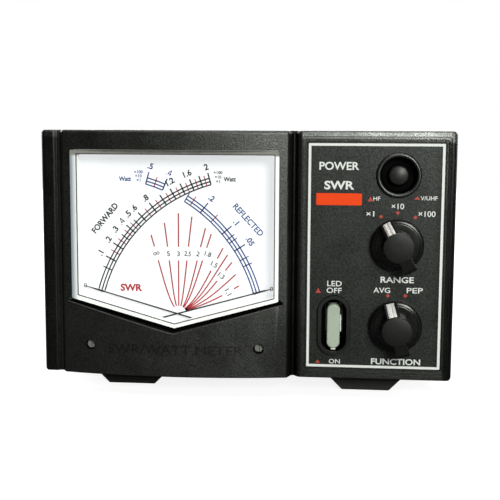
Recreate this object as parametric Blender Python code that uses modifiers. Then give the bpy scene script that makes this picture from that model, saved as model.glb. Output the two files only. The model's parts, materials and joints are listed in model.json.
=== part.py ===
"""Cross-needle SWR and power meter for a radio bench, as an assembly of separate parts.

Everything is placed in the front frame: X to the right, Y backwards from the face of the control
panel, Z up from the underside of the front moulding. The root empty then carries that frame to the
model's own origin, which is on the ground under the middle of the object. The meter rests with both
needles on zero, the range knob at its first position, and both push buttons out.
"""

import math

import bmesh
import bpy
from mathutils import Matrix, Vector

MM = 0.001
GAP = 0.15 * MM  # between pieces that touch on the real object
RUNNING = 0.06 * MM  # radial clearance of a shaft in its hole

# Front moulding
BODY_WIDTH = 155 * MM
BODY_HEIGHT = 92 * MM
BEZEL_DEPTH = 11 * MM
EDGE_RADIUS = 2 * MM
METER_X = -26.6 * MM  # centre line of the meter half
PANEL_HALF = 42.6 * MM  # half the width of the bowed meter panel
PANEL_STEP = 1.8 * MM  # how far the panel's ends stand in front of the control face
PANEL_BOW = 4.0 * MM  # rise of the bow over its ends
GROOVE_DEPTH = 2.4 * MM
SIDE_GROOVE_DEPTH = 0.6 * MM
WALL = 2.5 * MM

# Window opening: a square top and a V-shaped lower edge
OPENING_HALF = 39.6 * MM
OPENING_TOP = 85.2 * MM
OPENING_SHOULDER = 28.6 * MM
OPENING_TIP = 17.6 * MM

# Cross-needle movement
PIVOT_SPREAD = 29.1 * MM
PIVOT_Z = 13.5 * MM
ZERO_ANGLE = math.radians(15.8)  # of a resting needle, above the horizontal
NEEDLE_LENGTH = 68.6 * MM
NEEDLE_WIDTH = 0.45 * MM
NEEDLE_THICKNESS = 0.3 * MM
NEEDLE_LAYERS = {"forward": 6.4 * MM, "reflected": 7.3 * MM}
ZERO_SCREW_SPREAD = 32.25 * MM
ZERO_SCREW_Z = 10.85 * MM
ZERO_PIN_OFFSET = 0.9 * MM

# Control panel
RECESS = (22.9 * MM, 74.1 * MM, 3.2 * MM, 88.7 * MM)  # left, right, bottom, top
RECESS_DEPTH = 1.0 * MM
KNOB_X = 56.7 * MM
RANGE_Z = 50.7 * MM
FUNCTION_Z = 20.2 * MM
RANGE_REST = math.radians(28)  # pointers lean to the left of upright at rest
FUNCTION_REST = math.radians(15)
SENSOR_BUTTON = (56.8 * MM, 76.4 * MM)
SENSOR_COLLAR = 8.2 * MM  # outer radius
SENSOR_CAP = 3.75 * MM  # radius
LED_BUTTON = (33.8 * MM, 20.0 * MM)
LED_COLLAR = (6.0 * MM, 11.3 * MM)  # half width and half height
LED_CAP = (2.55 * MM, 8.45 * MM)
LED_CAP_FRONT = -0.4 * MM
COLLAR_FRONT = -1.3 * MM
COLLAR_BACK = 6.0 * MM
CUP_FLOOR = 3.6 * MM

# Knobs and switches
SKIRT_RADIUS = 9.7 * MM
GRIP_RADIUS = 5.5 * MM
GRIP_FRONT = -11.8 * MM
BAR_WIDTH = 5.0 * MM
TAIL_REACH = 10.2 * MM
POINTER_REACH = 9.4 * MM
NOSE_FRONT = -3.9 * MM
SHAFT_FRONT = -10.2 * MM
SHAFT_RADIUS = 3.0 * MM
BUSHING_RADIUS = 4.5 * MM
CONTROL_WALL_BACK = 3.5 * MM
BUTTON_TRAVEL = 3.0 * MM

# Case
CASE_FRONT = 11.3 * MM
CASE_REAR = 112 * MM
CASE_HALF = 76 * MM
CASE_BOTTOM = 1.2 * MM
CASE_TOP = 90.8 * MM
COVER_SHEET = 1.0 * MM
CHASSIS_SHEET = 1.2 * MM
FOOT_DROP = 8 * MM
FOOT_X = 46.3 * MM
FOOT_DEPTH = 14 * MM
FOOT_BOTTOM_WIDTH = 18.3 * MM
SIDE_SCREW_Z = 7 * MM

# Rear sockets
SOCKET_X = (-57 * MM, -29 * MM, 29 * MM, 57 * MM)
SOCKET_NAMES = ("hf_radio", "hf_antenna", "vuhf_radio", "vuhf_antenna")
SOCKET_Z = 58 * MM
SOCKET_RADIUS = 7.9 * MM
SOCKET_REACH = 13 * MM
SOCKET_MOUTH = 3.5 * MM  # depth of the clear space in front of the insulator
COUPLER_SIZE = (56 * MM, 38 * MM, 34 * MM)

FRONT_MOST = GRIP_FRONT
REAR_MOST = CASE_REAR + SOCKET_REACH
ORIGIN_Y = (FRONT_MOST + REAR_MOST) / 2

BLACK_PLASTIC = ((0.018, 0.018, 0.017), 0.45, 0.0)
GLOSS_BLACK = ((0.010, 0.010, 0.010), 0.18, 0.0)
PANEL_BLACK = ((0.022, 0.024, 0.024), 0.5, 0.0)
PAINTED_STEEL = ((0.02, 0.02, 0.02), 0.42, 0.3)
PLATED_STEEL = ((0.62, 0.62, 0.6), 0.35, 1.0)
BRIGHT_METAL = ((0.82, 0.82, 0.8), 0.15, 1.0)
BRASS = ((0.72, 0.53, 0.26), 0.3, 1.0)
COPPER = ((0.72, 0.36, 0.2), 0.35, 1.0)
WHITE_PLASTIC = ((0.86, 0.86, 0.84), 0.5, 0.0)
WHITE_CARD = ((0.92, 0.92, 0.91), 0.6, 0.0)
CLEAR_PLASTIC = ((0.95, 0.97, 0.97), 0.05, 0.0)
GREY_PLASTIC = ((0.55, 0.6, 0.54), 0.5, 0.0)
RUBBER = ((0.03, 0.03, 0.026), 0.7, 0.0)
GREEN_BOARD = ((0.03, 0.2, 0.08), 0.5, 0.0)
CREAM_PLASTIC = ((0.8, 0.76, 0.64), 0.5, 0.0)

UPRIGHT = (math.radians(90), 0, 0)  # turns an outline drawn flat to face the front
SIDEWAYS = (math.radians(90), 0, math.radians(90))  # and to face the right


# ---------------------------------------------------------------- scene and objects


def clear_scene():
    for obj in list(bpy.data.objects):
        bpy.data.objects.remove(obj, do_unlink=True)


def new_collection(name):
    collection = bpy.data.collections.new(name)
    bpy.context.scene.collection.children.link(collection)
    return collection


def finish_material(name, finish):
    colour, roughness, metallic = finish
    material = bpy.data.materials.new(name)
    material.use_nodes = True
    shader = material.node_tree.nodes["Principled BSDF"]
    shader.inputs["Base Color"].default_value = (*colour, 1)
    shader.inputs["Roughness"].default_value = roughness
    shader.inputs["Metallic"].default_value = metallic
    material.diffuse_color = (*colour, 1)
    return material


def place(name, mesh, finish, location=(0, 0, 0), rotation=(0, 0, 0)):
    """A mesh as an object of the assembly. With no finish it is a cutter, or a lump to be joined on."""
    obj = bpy.data.objects.new(name, mesh)
    obj.location = location
    obj.rotation_euler = rotation
    obj.parent = ROOT
    if finish is None:
        TOOLS.objects.link(obj)
        obj.hide_render = True
        obj.display_type = "WIRE"
    else:
        PARTS.objects.link(obj)
        mesh.materials.append(finish_material(name, finish))
    return obj


def mesh_of(build):
    """A new mesh holding what build(bm) makes, shaded smooth with its corners kept sharp."""
    bm = bmesh.new()
    build(bm)
    mesh = bpy.data.meshes.new("solid")
    bm.to_mesh(mesh)
    bm.free()
    mesh.shade_smooth()
    mesh.set_sharp_from_angle(angle=math.radians(35))
    return mesh


# ---------------------------------------------------------------- outlines


def arc(centre, radius, start, end, steps):
    """Points of an arc about centre, from one angle in degrees to the other."""
    angles = [math.radians(start + (end - start) * i / steps) for i in range(steps + 1)]
    return [(centre[0] + radius * math.cos(a), centre[1] + radius * math.sin(a)) for a in angles]


def circle(centre, radius, steps=32):
    return arc(centre, radius, 0, 360, steps)[:-1]


def fillet(corners, steps=4):
    """An outline from (x, y, radius) corners, each rounded by an arc of its radius."""
    points = []
    for i, (x, y, radius) in enumerate(corners):
        corner = Vector((x, y))
        if radius == 0:
            points.append((x, y))
            continue
        before = (Vector(corners[i - 1][:2]) - corner).normalized()
        after = (Vector(corners[(i + 1) % len(corners)][:2]) - corner).normalized()
        half = before.angle(after) / 2
        centre = corner + (before + after).normalized() * (radius / math.sin(half))
        first = corner + before * (radius / math.tan(half)) - centre
        last = corner + after * (radius / math.tan(half)) - centre
        turn = first.angle_signed(last)
        for k in range(steps + 1):
            spoke = Matrix.Rotation(-turn * k / steps, 2) @ first
            points.append(tuple(centre + spoke))
    return points


def rectangle(left, right, bottom, top, radius=0.0, steps=4):
    corners = [(left, bottom), (right, bottom), (right, top), (left, top)]
    return fillet([(x, y, radius) for x, y in corners], steps)


def stadium(centre, half_width, half_height, steps=12):
    """An upright slot shape with round ends."""
    x, z = centre
    straight = half_height - half_width
    upper = arc((x, z + straight), half_width, 0, 180, steps)
    return upper + arc((x, z - straight), half_width, 180, 360, steps)


def window_outline(inset, radius):
    """The pentagon of the window opening, with every side moved inwards by inset."""
    slope = math.atan2(OPENING_SHOULDER - OPENING_TIP, OPENING_HALF)
    half = OPENING_HALF - inset
    tip = OPENING_TIP + inset / math.cos(slope)
    shoulder = tip + half * math.tan(slope)
    top = OPENING_TOP - inset
    corners = [(-half, shoulder), (0, tip), (half, shoulder), (half, top), (-half, top)]
    return fillet([(METER_X + x, z, radius) for x, z in corners], 3)


def bow_y(x):
    """Y of the bowed meter panel's face at x."""
    radius = (PANEL_HALF**2 + PANEL_BOW**2) / (2 * PANEL_BOW)
    rise = math.sqrt(radius**2 - (x - METER_X) ** 2) - (radius - PANEL_BOW)
    return -(PANEL_STEP + rise)


# ---------------------------------------------------------------- solids


def outline_solid(name, outlines, thickness, finish, location, rotation):
    """A flat outline, with any further outlines as holes in it, thickened about its own plane."""
    curve = bpy.data.curves.new(name, "CURVE")
    curve.dimensions = "2D"
    curve.fill_mode = "BOTH"
    curve.extrude = thickness / 2
    for outline in outlines:
        spline = curve.splines.new("POLY")
        spline.points.add(len(outline) - 1)
        for point, (x, y) in zip(spline.points, outline):
            point.co = (x, y, 0, 1)
        spline.use_cyclic_u = True
    flat = bpy.data.objects.new(name, curve)
    bpy.context.scene.collection.objects.link(flat)
    graph = bpy.context.evaluated_depsgraph_get()
    mesh = bpy.data.meshes.new_from_object(flat.evaluated_get(graph))
    bpy.data.objects.remove(flat, do_unlink=True)
    bpy.data.curves.remove(curve)

    def weld(bm):
        bm.from_mesh(mesh)
        bmesh.ops.remove_doubles(bm, verts=bm.verts, dist=0.001 * MM)
        bmesh.ops.dissolve_limit(bm, angle_limit=0.002, verts=bm.verts, edges=bm.edges)
        bmesh.ops.recalc_face_normals(bm, faces=bm.faces)

    return place(name, mesh_of(weld), finish, location, rotation)


def front_plate(name, outlines, front, back, finish=None, origin=(0, 0)):
    """Outlines in X and Z, running from y = front to y = back. The object's own origin is at origin."""
    x0, z0 = origin
    moved = [[(x - x0, z - z0) for x, z in outline] for outline in outlines]
    where = (x0, (front + back) / 2, z0)
    return outline_solid(name, moved, back - front, finish, where, UPRIGHT)


def floor_plate(name, outlines, bottom, top, finish=None):
    """Outlines in X and Y, running from z = bottom to z = top."""
    return outline_solid(name, outlines, top - bottom, finish, (0, 0, (bottom + top) / 2), (0, 0, 0))


def side_plate(name, outlines, left, right, finish=None):
    """Outlines in Y and Z, running from x = left to x = right."""
    return outline_solid(name, outlines, right - left, finish, ((left + right) / 2, 0, 0), SIDEWAYS)


def box(name, low, high, finish=None):
    size = Vector(high) - Vector(low)

    def build(bm):
        bmesh.ops.create_cube(bm, size=1)
        bmesh.ops.scale(bm, vec=size, verts=bm.verts)

    return place(name, mesh_of(build), finish, (Vector(low) + Vector(high)) / 2)


def rod(name, radius, centre, front, back, finish=None, steps=24):
    """A cylinder along Y about centre, which is an (x, z) pair."""

    def build(bm):
        bmesh.ops.create_cone(
            bm, cap_ends=True, segments=steps, radius1=radius, radius2=radius, depth=back - front
        )

    where = (centre[0], (front + back) / 2, centre[1])
    return place(name, mesh_of(build), finish, where, UPRIGHT)


def turned(name, profile, centre, finish=None, steps=32):
    """A profile of (radius, y) pairs turned about the Y axis through centre. It runs from the front
    to the back along its outer side. One that starts or ends off the axis is closed into a ring."""
    mesh = bpy.data.meshes.new(name)
    edges = [(i, i + 1) for i in range(len(profile) - 1)]
    if profile[0][0] > 0 or profile[-1][0] > 0:
        edges.append((len(profile) - 1, 0))
    mesh.from_pydata([(radius, 0, -y) for radius, y in profile], edges, [])
    obj = place(name, mesh, finish, (centre[0], 0, centre[1]), UPRIGHT)
    screw = obj.modifiers.new("turn", "SCREW")
    screw.axis = "Z"
    screw.angle = 2 * math.pi
    screw.steps = screw.render_steps = steps
    screw.use_merge_vertices = True
    screw.merge_threshold = 0.01 * MM
    screw.use_smooth_shade = True
    return obj


def combine(operation, target, others):
    for other in others:
        modifier = target.modifiers.new(operation.lower(), "BOOLEAN")
        modifier.operation = operation
        modifier.solver = "EXACT"
        modifier.object = other
    return target


def cut(target, *others):
    return combine("DIFFERENCE", target, others)


def join(target, *others):
    return combine("UNION", target, others)


def soften(target, width, segments=2):
    bevel = target.modifiers.new("round edges", "BEVEL")
    bevel.width = width
    bevel.segments = segments
    bevel.limit_method = "ANGLE"
    bevel.angle_limit = math.radians(50)
    return target


# ---------------------------------------------------------------- front moulding


def bezel_outline():
    """The front moulding seen from above: side edges, grooves and the bowed meter panel."""
    half = BODY_WIDTH / 2
    left = METER_X - PANEL_HALF
    right = METER_X + PANEL_HALF
    bow_steps = 18
    inner = [left + (right - left) * i / bow_steps for i in range(1, bow_steps)]
    corners = [(-half, BEZEL_DEPTH, 0), (-half, 0, EDGE_RADIUS)]
    corners += [(left - 3.6 * MM, -0.1 * MM, 0.8 * MM), (left - 2.7 * MM, SIDE_GROOVE_DEPTH, 0.5 * MM)]
    corners += [(left - 1.2 * MM, SIDE_GROOVE_DEPTH, 0.5 * MM), (left, -PANEL_STEP, 1.1 * MM)]
    corners += [(x, bow_y(x), 0) for x in inner]
    corners += [(right, -PANEL_STEP, 1.1 * MM), (right + 0.7 * MM, GROOVE_DEPTH, 0.9 * MM)]
    corners += [(right + 3.2 * MM, GROOVE_DEPTH, 0.9 * MM), (right + 4.0 * MM, 0, 1.5 * MM)]
    corners += [(half, 0, EDGE_RADIUS), (half, BEZEL_DEPTH, 0)]
    return fillet(corners)


def zero_screw_places():
    return [(METER_X + ZERO_SCREW_SPREAD, ZERO_SCREW_Z), (METER_X - ZERO_SCREW_SPREAD, ZERO_SCREW_Z)]


def front_bezel():
    bezel = floor_plate("front_bezel", [bezel_outline()], 0, BODY_HEIGHT, BLACK_PLASTIC)
    soften(bezel, 0.9 * MM)
    through = (-15 * MM, 20 * MM)
    cutters = [front_plate("window_cutter", [window_outline(0, 0.6 * MM)], *through)]
    cutters.append(front_plate("recess_cutter", [rectangle(*RECESS, 0.8 * MM)], -15 * MM, RECESS_DEPTH))
    meter_room = ((-68.6 * MM, 2.6 * MM, WALL), (14.9 * MM, 20 * MM, BODY_HEIGHT - WALL))
    cutters.append(box("meter_room_cutter", *meter_room))
    control_room = ((20.5 * MM, CONTROL_WALL_BACK, WALL), (75 * MM, 20 * MM, BODY_HEIGHT - WALL))
    cutters.append(box("control_room_cutter", *control_room))
    for i, centre in enumerate(zero_screw_places()):
        cutters.append(rod(f"zero_hole_cutter_{i}", 1.8 * MM, centre, *through))
    cut(bezel, *cutters, *bushing_holes("bezel"))
    join(bezel, *collars())
    return cut(bezel, *collar_bores())


def collars():
    """Raised rims round the two push buttons. They stand through the label plate, and their cups
    reach behind the wall."""
    rim = [(0, COLLAR_FRONT), (SENSOR_COLLAR - 0.5 * MM, COLLAR_FRONT)]
    rim += [(SENSOR_COLLAR, COLLAR_FRONT + 0.5 * MM), (SENSOR_COLLAR, COLLAR_BACK), (0, COLLAR_BACK)]
    round_collar = turned("sensor_collar", rim, SENSOR_BUTTON, steps=40)
    outline = stadium(LED_BUTTON, *LED_COLLAR)
    long_collar = front_plate("led_collar", [outline], COLLAR_FRONT, COLLAR_BACK)
    soften(long_collar, 0.4 * MM)
    return [round_collar, long_collar]


def collar_bores():
    """The dished cup of each collar and the hole in its floor that guides the button."""
    cup = [(0, -3 * MM), (SENSOR_COLLAR - 1.1 * MM, -3 * MM)]
    cup += [(SENSOR_COLLAR - 1.3 * MM, CUP_FLOOR), (0, CUP_FLOOR)]
    half_width, half_height = LED_COLLAR
    well = stadium(LED_BUTTON, half_width - 1.5 * MM, half_height - 1.5 * MM)
    slot = stadium(LED_BUTTON, LED_CAP[0] + 0.25 * MM, LED_CAP[1] + 0.25 * MM)
    return [
        turned("sensor_cup", cup, SENSOR_BUTTON, steps=40),
        rod("sensor_guide", SENSOR_CAP + 0.25 * MM, SENSOR_BUTTON, 0, 9 * MM, steps=32),
        front_plate("led_well", [well], -3 * MM, CUP_FLOOR),
        front_plate("led_guide", [slot], 0, 9 * MM),
    ]


def bushing_holes(owner):
    """Cutters for the two switch bushings, in the wall and in the label plate."""
    hole = BUSHING_RADIUS + 0.2 * MM
    return [
        rod(f"{owner}_hole_{i}", hole, (KNOB_X, z), -2 * MM, 7 * MM)
        for i, z in enumerate((RANGE_Z, FUNCTION_Z))
    ]


def control_plate():
    """The printed label plate, laid in the recess round the collars."""
    left, right, bottom, top = RECESS
    edge = 0.15 * MM
    outline = rectangle(left + edge, right - edge, bottom + edge, top - edge, 0.7 * MM)
    round_hole = circle(SENSOR_BUTTON, SENSOR_COLLAR + 0.15 * MM, 40)
    long_hole = stadium(LED_BUTTON, *(side + 0.15 * MM for side in LED_COLLAR))
    outlines = [outline, round_hole, long_hole]
    plate = front_plate("control_plate", outlines, 0.2 * MM, RECESS_DEPTH - GAP, PANEL_BLACK)
    return cut(plate, *bushing_holes("plate"))


# ---------------------------------------------------------------- meter unit

METER_SIDES = (METER_X - 41.6 * MM, METER_X + 41.1 * MM)
METER_LOW = 2.8 * MM
METER_TOP = 88.6 * MM
METER_FRONT = 2.8 * MM
COVER_BACK = 8.0 * MM
METER_BACK = 26 * MM
METER_WALL = 1.3 * MM
DIAL_FRONT = 8.5 * MM


def inside_meter(front, back, name):
    """A cutter for the room inside the meter's walls."""
    low = (METER_SIDES[0] + METER_WALL, front, METER_LOW + METER_WALL)
    high = (METER_SIDES[1] - METER_WALL, back, METER_TOP - METER_WALL)
    return box(name, low, high)


def meter_window():
    """The clear cover. A thicker rim stands in the bezel's opening, and the zero screws turn in it."""
    rim_front = 2.0 * MM
    pane_back = 3.5 * MM
    flange_back = 4.0 * MM
    outer = rectangle(*METER_SIDES, METER_LOW, METER_TOP, 0.8 * MM)
    cover = front_plate("meter_window", [outer], METER_FRONT, COVER_BACK, CLEAR_PLASTIC)
    rim = front_plate("window_rim", [window_outline(0.2 * MM, 0.6 * MM)], rim_front, 3.2 * MM)
    pocket = front_plate("window_pocket", [window_outline(1.8 * MM, 0.5 * MM)], pane_back, 5 * MM)
    holes = [
        rod(f"window_hole_{i}", 1.0 * MM + RUNNING, centre, 1 * MM, 6 * MM, steps=16)
        for i, centre in enumerate(zero_screw_places())
    ]
    join(cover, rim)
    return cut(cover, inside_meter(flange_back, 12 * MM, "window_room"), pocket, *holes)


def meter_case():
    """The white tray behind the clear cover. Posts on its back wall carry the dial and the lamps, and
    round seats carry the two movements and the rear ends of their staffs."""
    outer = rectangle(*METER_SIDES, METER_LOW, METER_TOP, 0.8 * MM)
    case = front_plate("meter_case", [outer], COVER_BACK + GAP, METER_BACK, WHITE_PLASTIC)
    cut(case, inside_meter(0, METER_BACK - 1.5 * MM, "case_room"))
    posts = [
        rod(f"dial_post_{i}", 2.2 * MM, (METER_X + side * 30 * MM, 66 * MM), 9.6 * MM, METER_BACK - MM)
        for i, side in enumerate((-1, 1))
    ]
    for i, side in enumerate((-1, 1)):
        lamp_post = (METER_X + side * 20 * MM, 79.5 * MM)
        posts.append(rod(f"lamp_post_{i}", 1.6 * MM, lamp_post, 13.4 * MM, METER_BACK - MM, steps=16))
        pivot = (METER_X + side * PIVOT_SPREAD, PIVOT_Z)
        seat = [circle(pivot, 8.3 * MM, 32), circle(pivot, 6.2 * MM, 32)]
        posts.append(front_plate(f"magnet_seat_{i}", seat, MAGNET_BACK + GAP, METER_BACK - MM))
        bearing = [circle(pivot, 1.8 * MM, 16), circle(pivot, STAFF_RADIUS + RUNNING, 12)]
        posts.append(front_plate(f"rear_bearing_{i}", bearing, COIL_BACK + 0.3 * MM, METER_BACK - MM))
    return join(case, *posts)


def dial_plate():
    """The printed card's backing, a little larger than the opening so that its edges stay hidden."""
    low = -2.6 * MM
    outline = window_outline(low, 0.5 * MM)
    top = METER_TOP - METER_WALL - 0.4 * MM
    outline = [(x, min(z, top)) for x, z in outline]
    side = PANEL_HALF - 3.2 * MM
    outline = [(max(METER_X - side, min(METER_X + side, x)), z) for x, z in outline]
    return front_plate("dial_plate", [outline], DIAL_FRONT, DIAL_FRONT + 0.8 * MM, WHITE_CARD)


def lamp_board():
    """The strip of three lamps behind the top of the dial."""
    board = box(
        "lamp_board",
        (METER_X - 24 * MM, 12 * MM, 76 * MM),
        (METER_X + 24 * MM, 13.2 * MM, 83 * MM),
        GREEN_BOARD,
    )
    lamps = [
        rod(f"lamp_{i}", 1.6 * MM, (METER_X + x * MM, 79.5 * MM), 10 * MM, 12.6 * MM, steps=16)
        for i, x in enumerate((-18, 0, 18))
    ]
    return join(board, *lamps)


STAFF_RADIUS = 0.4 * MM
COIL_FRONT = 8.2 * MM
COIL_BACK = 23.0 * MM
MAGNET_FRONT = 9.7 * MM
MAGNET_BACK = 21.6 * MM
COIL_REST = math.radians(61)  # of the coil's plane, with the needle on zero
WEB_ANGLE = COIL_REST + math.radians(60)  # clear of the coil's swing on both sides
BRIDGE_FRONT = 5.5 * MM
BRIDGE_BACK = 6.0 * MM
LEVER_FRONT = 4.75 * MM
LEVER_BACK = 5.2 * MM


class Movement:
    """One moving-coil movement. Side +1 is at the right, and its needle points left at rest."""

    def __init__(self, name, side):
        self.name = name
        self.side = side
        self.pivot = (METER_X + side * PIVOT_SPREAD, PIVOT_Z)
        self.screw = (METER_X + side * ZERO_SCREW_SPREAD, ZERO_SCREW_Z)
        self.layer = NEEDLE_LAYERS[name]

    def at(self, along, across, angle):
        """A point at a distance along and across a direction, given for the right-hand movement."""
        x = along * math.cos(angle) - across * math.sin(angle)
        z = along * math.sin(angle) + across * math.cos(angle)
        return (self.pivot[0] + self.side * x, self.pivot[1] + z)

    def shape(self, local, angle):
        """An outline of (along, across) pairs turned to an angle about the pivot."""
        points = [self.at(along, across, angle) for along, across in local]
        return points if self.side > 0 else points[::-1]

    def needle(self):
        """A thin blade with a wider tip, a round hub and a counterweight tail."""
        hub = 1.5 * MM
        tail = 7.0 * MM
        thin = NEEDLE_WIDTH / 2
        paddle = NEEDLE_LENGTH - 8.5 * MM
        upper_edge = [(hub * 0.9, thin * 1.4), (paddle, thin), (paddle + MM, thin * 1.7)]
        upper_edge += [(NEEDLE_LENGTH, thin * 0.5)]
        blade = upper_edge + [(along, -across) for along, across in reversed(upper_edge)]
        lower = arc((0, 0), hub, -35, -150, 5)
        weight = [(-tail, -0.9 * MM), (-tail, 0.9 * MM)]
        upper = arc((0, 0), hub, 150, 35, 5)
        outline = self.shape(blade + lower + weight + upper, math.pi - ZERO_ANGLE)
        hole = circle(self.pivot, STAFF_RADIUS + RUNNING, 12)
        span = (self.layer, self.layer + NEEDLE_THICKNESS)
        name = f"{self.name}_needle"
        return front_plate(name, [outline, hole], *span, PANEL_BLACK, self.pivot)

    def coil(self):
        """The copper coil on its staff. It stands in the gap between the core and the magnet ring."""
        inner, outer, half_thick, limb = 4.35 * MM, 5.25 * MM, 1.3 * MM, 0.9 * MM
        front, back, lean = COIL_FRONT, COIL_BACK, COIL_REST
        frame = [(-outer, -half_thick), (outer, -half_thick), (outer, half_thick), (-outer, half_thick)]
        room = [(-inner, -5 * MM), (inner, -5 * MM), (inner, 5 * MM), (-inner, 5 * MM)]
        name = f"{self.name}_coil"
        coil = front_plate(name, [self.shape(frame, lean)], front, back, COPPER, self.pivot)
        cutter = front_plate(f"{self.name}_coil_room", [self.shape(room, lean)], front + limb, back - limb)
        ends = {"front": (5.2 * MM, front + limb / 2), "back": (back - limb / 2, 24.2 * MM)}
        staff = [
            rod(f"{name}_{end}_staff", STAFF_RADIUS, self.pivot, *span, steps=12)
            for end, span in ends.items()
        ]
        return join(cut(coil, cutter), *staff)

    def magnet(self):
        """A ring magnet with its core, held together by webs above and below the coil's swing."""
        span = (MAGNET_FRONT, MAGNET_BACK)
        ring = [circle(self.pivot, 8.5 * MM, 32), circle(self.pivot, 5.85 * MM, 32)]
        magnet = front_plate(f"{self.name}_magnet", ring, *span, PLATED_STEEL)
        web = [(-6.4 * MM, -0.8 * MM), (6.4 * MM, -0.8 * MM), (6.4 * MM, 0.8 * MM), (-6.4 * MM, 0.8 * MM)]
        webs = front_plate(f"{self.name}_web", [self.shape(web, WEB_ANGLE)], 13 * MM, 18 * MM)
        core = rod(f"{self.name}_core", 4.0 * MM, self.pivot, *span)
        return join(magnet, core, webs)

    def bridge(self):
        """The bearing bracket in front of the needle, standing on the magnet ring by one leg."""
        angle = math.radians(227)
        plate = [(0, -1.6 * MM), (8.2 * MM, -1.6 * MM), (8.2 * MM, 1.6 * MM), (0, 1.6 * MM)]
        leg = [(6.4 * MM, -1.4 * MM), (8.0 * MM, -1.4 * MM), (8.0 * MM, 1.4 * MM), (6.4 * MM, 1.4 * MM)]
        name = f"{self.name}_bridge"
        span = (BRIDGE_FRONT, BRIDGE_BACK)
        bridge = front_plate(name, [self.shape(plate, angle)], *span, BRASS)
        foot = front_plate(f"{name}_leg", [self.shape(leg, angle)], span[0] + 0.2 * MM, MAGNET_FRONT - GAP)
        boss = rod(f"{name}_boss", 0.9 * MM, self.pivot, 4.6 * MM, 5.7 * MM, steps=16)
        head = rod(f"{name}_head", 1.8 * MM, self.pivot, span[0] - 0.1 * MM, span[1] + 0.1 * MM, steps=20)
        jewel = rod(f"{name}_jewel", STAFF_RADIUS + RUNNING, self.pivot, 5.0 * MM, 7 * MM, steps=12)
        return cut(join(bridge, foot, boss, head), jewel)

    def screw_angle(self):
        """Direction from the pivot to the zero screw, for the right-hand movement."""
        return math.atan2(ZERO_SCREW_Z - PIVOT_Z, ZERO_SCREW_SPREAD - PIVOT_SPREAD)

    def zero_lever(self):
        """A forked lever that turns on the bridge's boss and is driven by the screw's pin."""
        reach, slot_start, slot_half = 6.3 * MM, 4.0 * MM, 0.45 * MM
        body = arc((0, 0), 1.9 * MM, 40, 320, 12)
        body += [(slot_start - MM, -1.1 * MM), (reach, -1.1 * MM), (reach, -slot_half)]
        body += [(slot_start, -slot_half), (slot_start, slot_half), (reach, slot_half)]
        body += [(reach, 1.1 * MM), (slot_start - MM, 1.1 * MM)]
        outline = self.shape(body, self.screw_angle())
        hole = circle(self.pivot, 0.9 * MM + RUNNING, 16)
        name = f"{self.name}_zero_lever"
        return front_plate(name, [outline, hole], LEVER_FRONT, LEVER_BACK, BRASS, self.pivot)

    def zero_screw(self):
        """The slotted adjuster in the clear cover, with an eccentric pin at its back."""
        profile = [(0, -1.4 * MM), (1.45 * MM, -1.4 * MM), (1.6 * MM, -1.2 * MM), (1.6 * MM, 2.6 * MM)]
        profile += [(1.0 * MM, 2.6 * MM), (1.0 * MM, 4.15 * MM), (1.5 * MM, 4.15 * MM), (1.5 * MM, 4.5 * MM)]
        profile += [(0, 4.5 * MM)]
        name = f"{self.name}_zero_screw"
        screw = turned(name, profile, self.screw, CREAM_PLASTIC, steps=24)
        reach = math.dist(self.pivot, self.screw) + ZERO_PIN_OFFSET
        where = self.at(reach, 0, self.screw_angle())
        pin = rod(f"{name}_pin", 0.35 * MM, where, 4.3 * MM, LEVER_BACK + GAP, steps=12)
        x, z = self.screw
        slot_low = (x - 0.3 * MM, -3 * MM, z - 2 * MM)
        slot = box(f"{name}_slot", slot_low, (x + 0.3 * MM, -0.7 * MM, z + 2 * MM))
        return cut(join(screw, pin), slot)


def meter_unit():
    meter_window()
    meter_case()
    dial_plate()
    lamp_board()
    for name, side in (("forward", 1), ("reflected", -1)):
        movement = Movement(name, side)
        movement.needle()
        movement.coil()
        movement.magnet()
        movement.bridge()
        movement.zero_lever()
        movement.zero_screw()


# ---------------------------------------------------------------- knobs and rotary switches


def knob(name, centre, lean):
    """A skirted pointer knob: round grip, a bar with a tail, and a bright strip down its nose."""
    skirt = [(0, -3.3 * MM), (8.4 * MM, -2.9 * MM), (9.3 * MM, -2.6 * MM), (SKIRT_RADIUS, -2.0 * MM)]
    skirt += [(SKIRT_RADIUS, -0.1 * MM), (7.4 * MM, -0.1 * MM), (7.4 * MM, -2.1 * MM), (0, -2.1 * MM)]
    body = turned(f"{name}_knob", skirt, centre, GLOSS_BLACK, steps=48)
    grip = [(0, GRIP_FRONT), (GRIP_RADIUS - 0.4 * MM, GRIP_FRONT), (GRIP_RADIUS, GRIP_FRONT + 0.4 * MM)]
    grip += [(GRIP_RADIUS + 0.2 * MM, -2.5 * MM), (0, -2.5 * MM)]
    cylinder = turned(f"{name}_grip", grip, centre, steps=40)
    side_view = [(-TAIL_REACH, -2.3 * MM), (-TAIL_REACH, GRIP_FRONT + 0.8 * MM)]
    side_view += [(-TAIL_REACH + 0.8 * MM, GRIP_FRONT + 0.3 * MM), (4.6 * MM, GRIP_FRONT + 0.3 * MM)]
    side_view += [(POINTER_REACH, NOSE_FRONT), (POINTER_REACH, -2.3 * MM)]
    bar = lean_solid(f"{name}_bar", side_view, BAR_WIDTH, centre, lean)
    groove_view = nose_strip(0.5 * MM, 1.0 * MM, 0.0)
    groove = lean_solid(f"{name}_groove", groove_view, 3.5 * MM, centre, lean)
    bore = rod(f"{name}_bore", SHAFT_RADIUS + RUNNING, centre, SHAFT_FRONT - 0.2 * MM, 3 * MM)
    join(body, cylinder, bar)
    cut(body, groove, bore)
    strip = nose_strip(0.4 * MM, 0.2 * MM, 0.1 * MM)
    lean_solid(f"{name}_pointer", strip, 3.3 * MM, centre, lean, BRIGHT_METAL)


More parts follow.
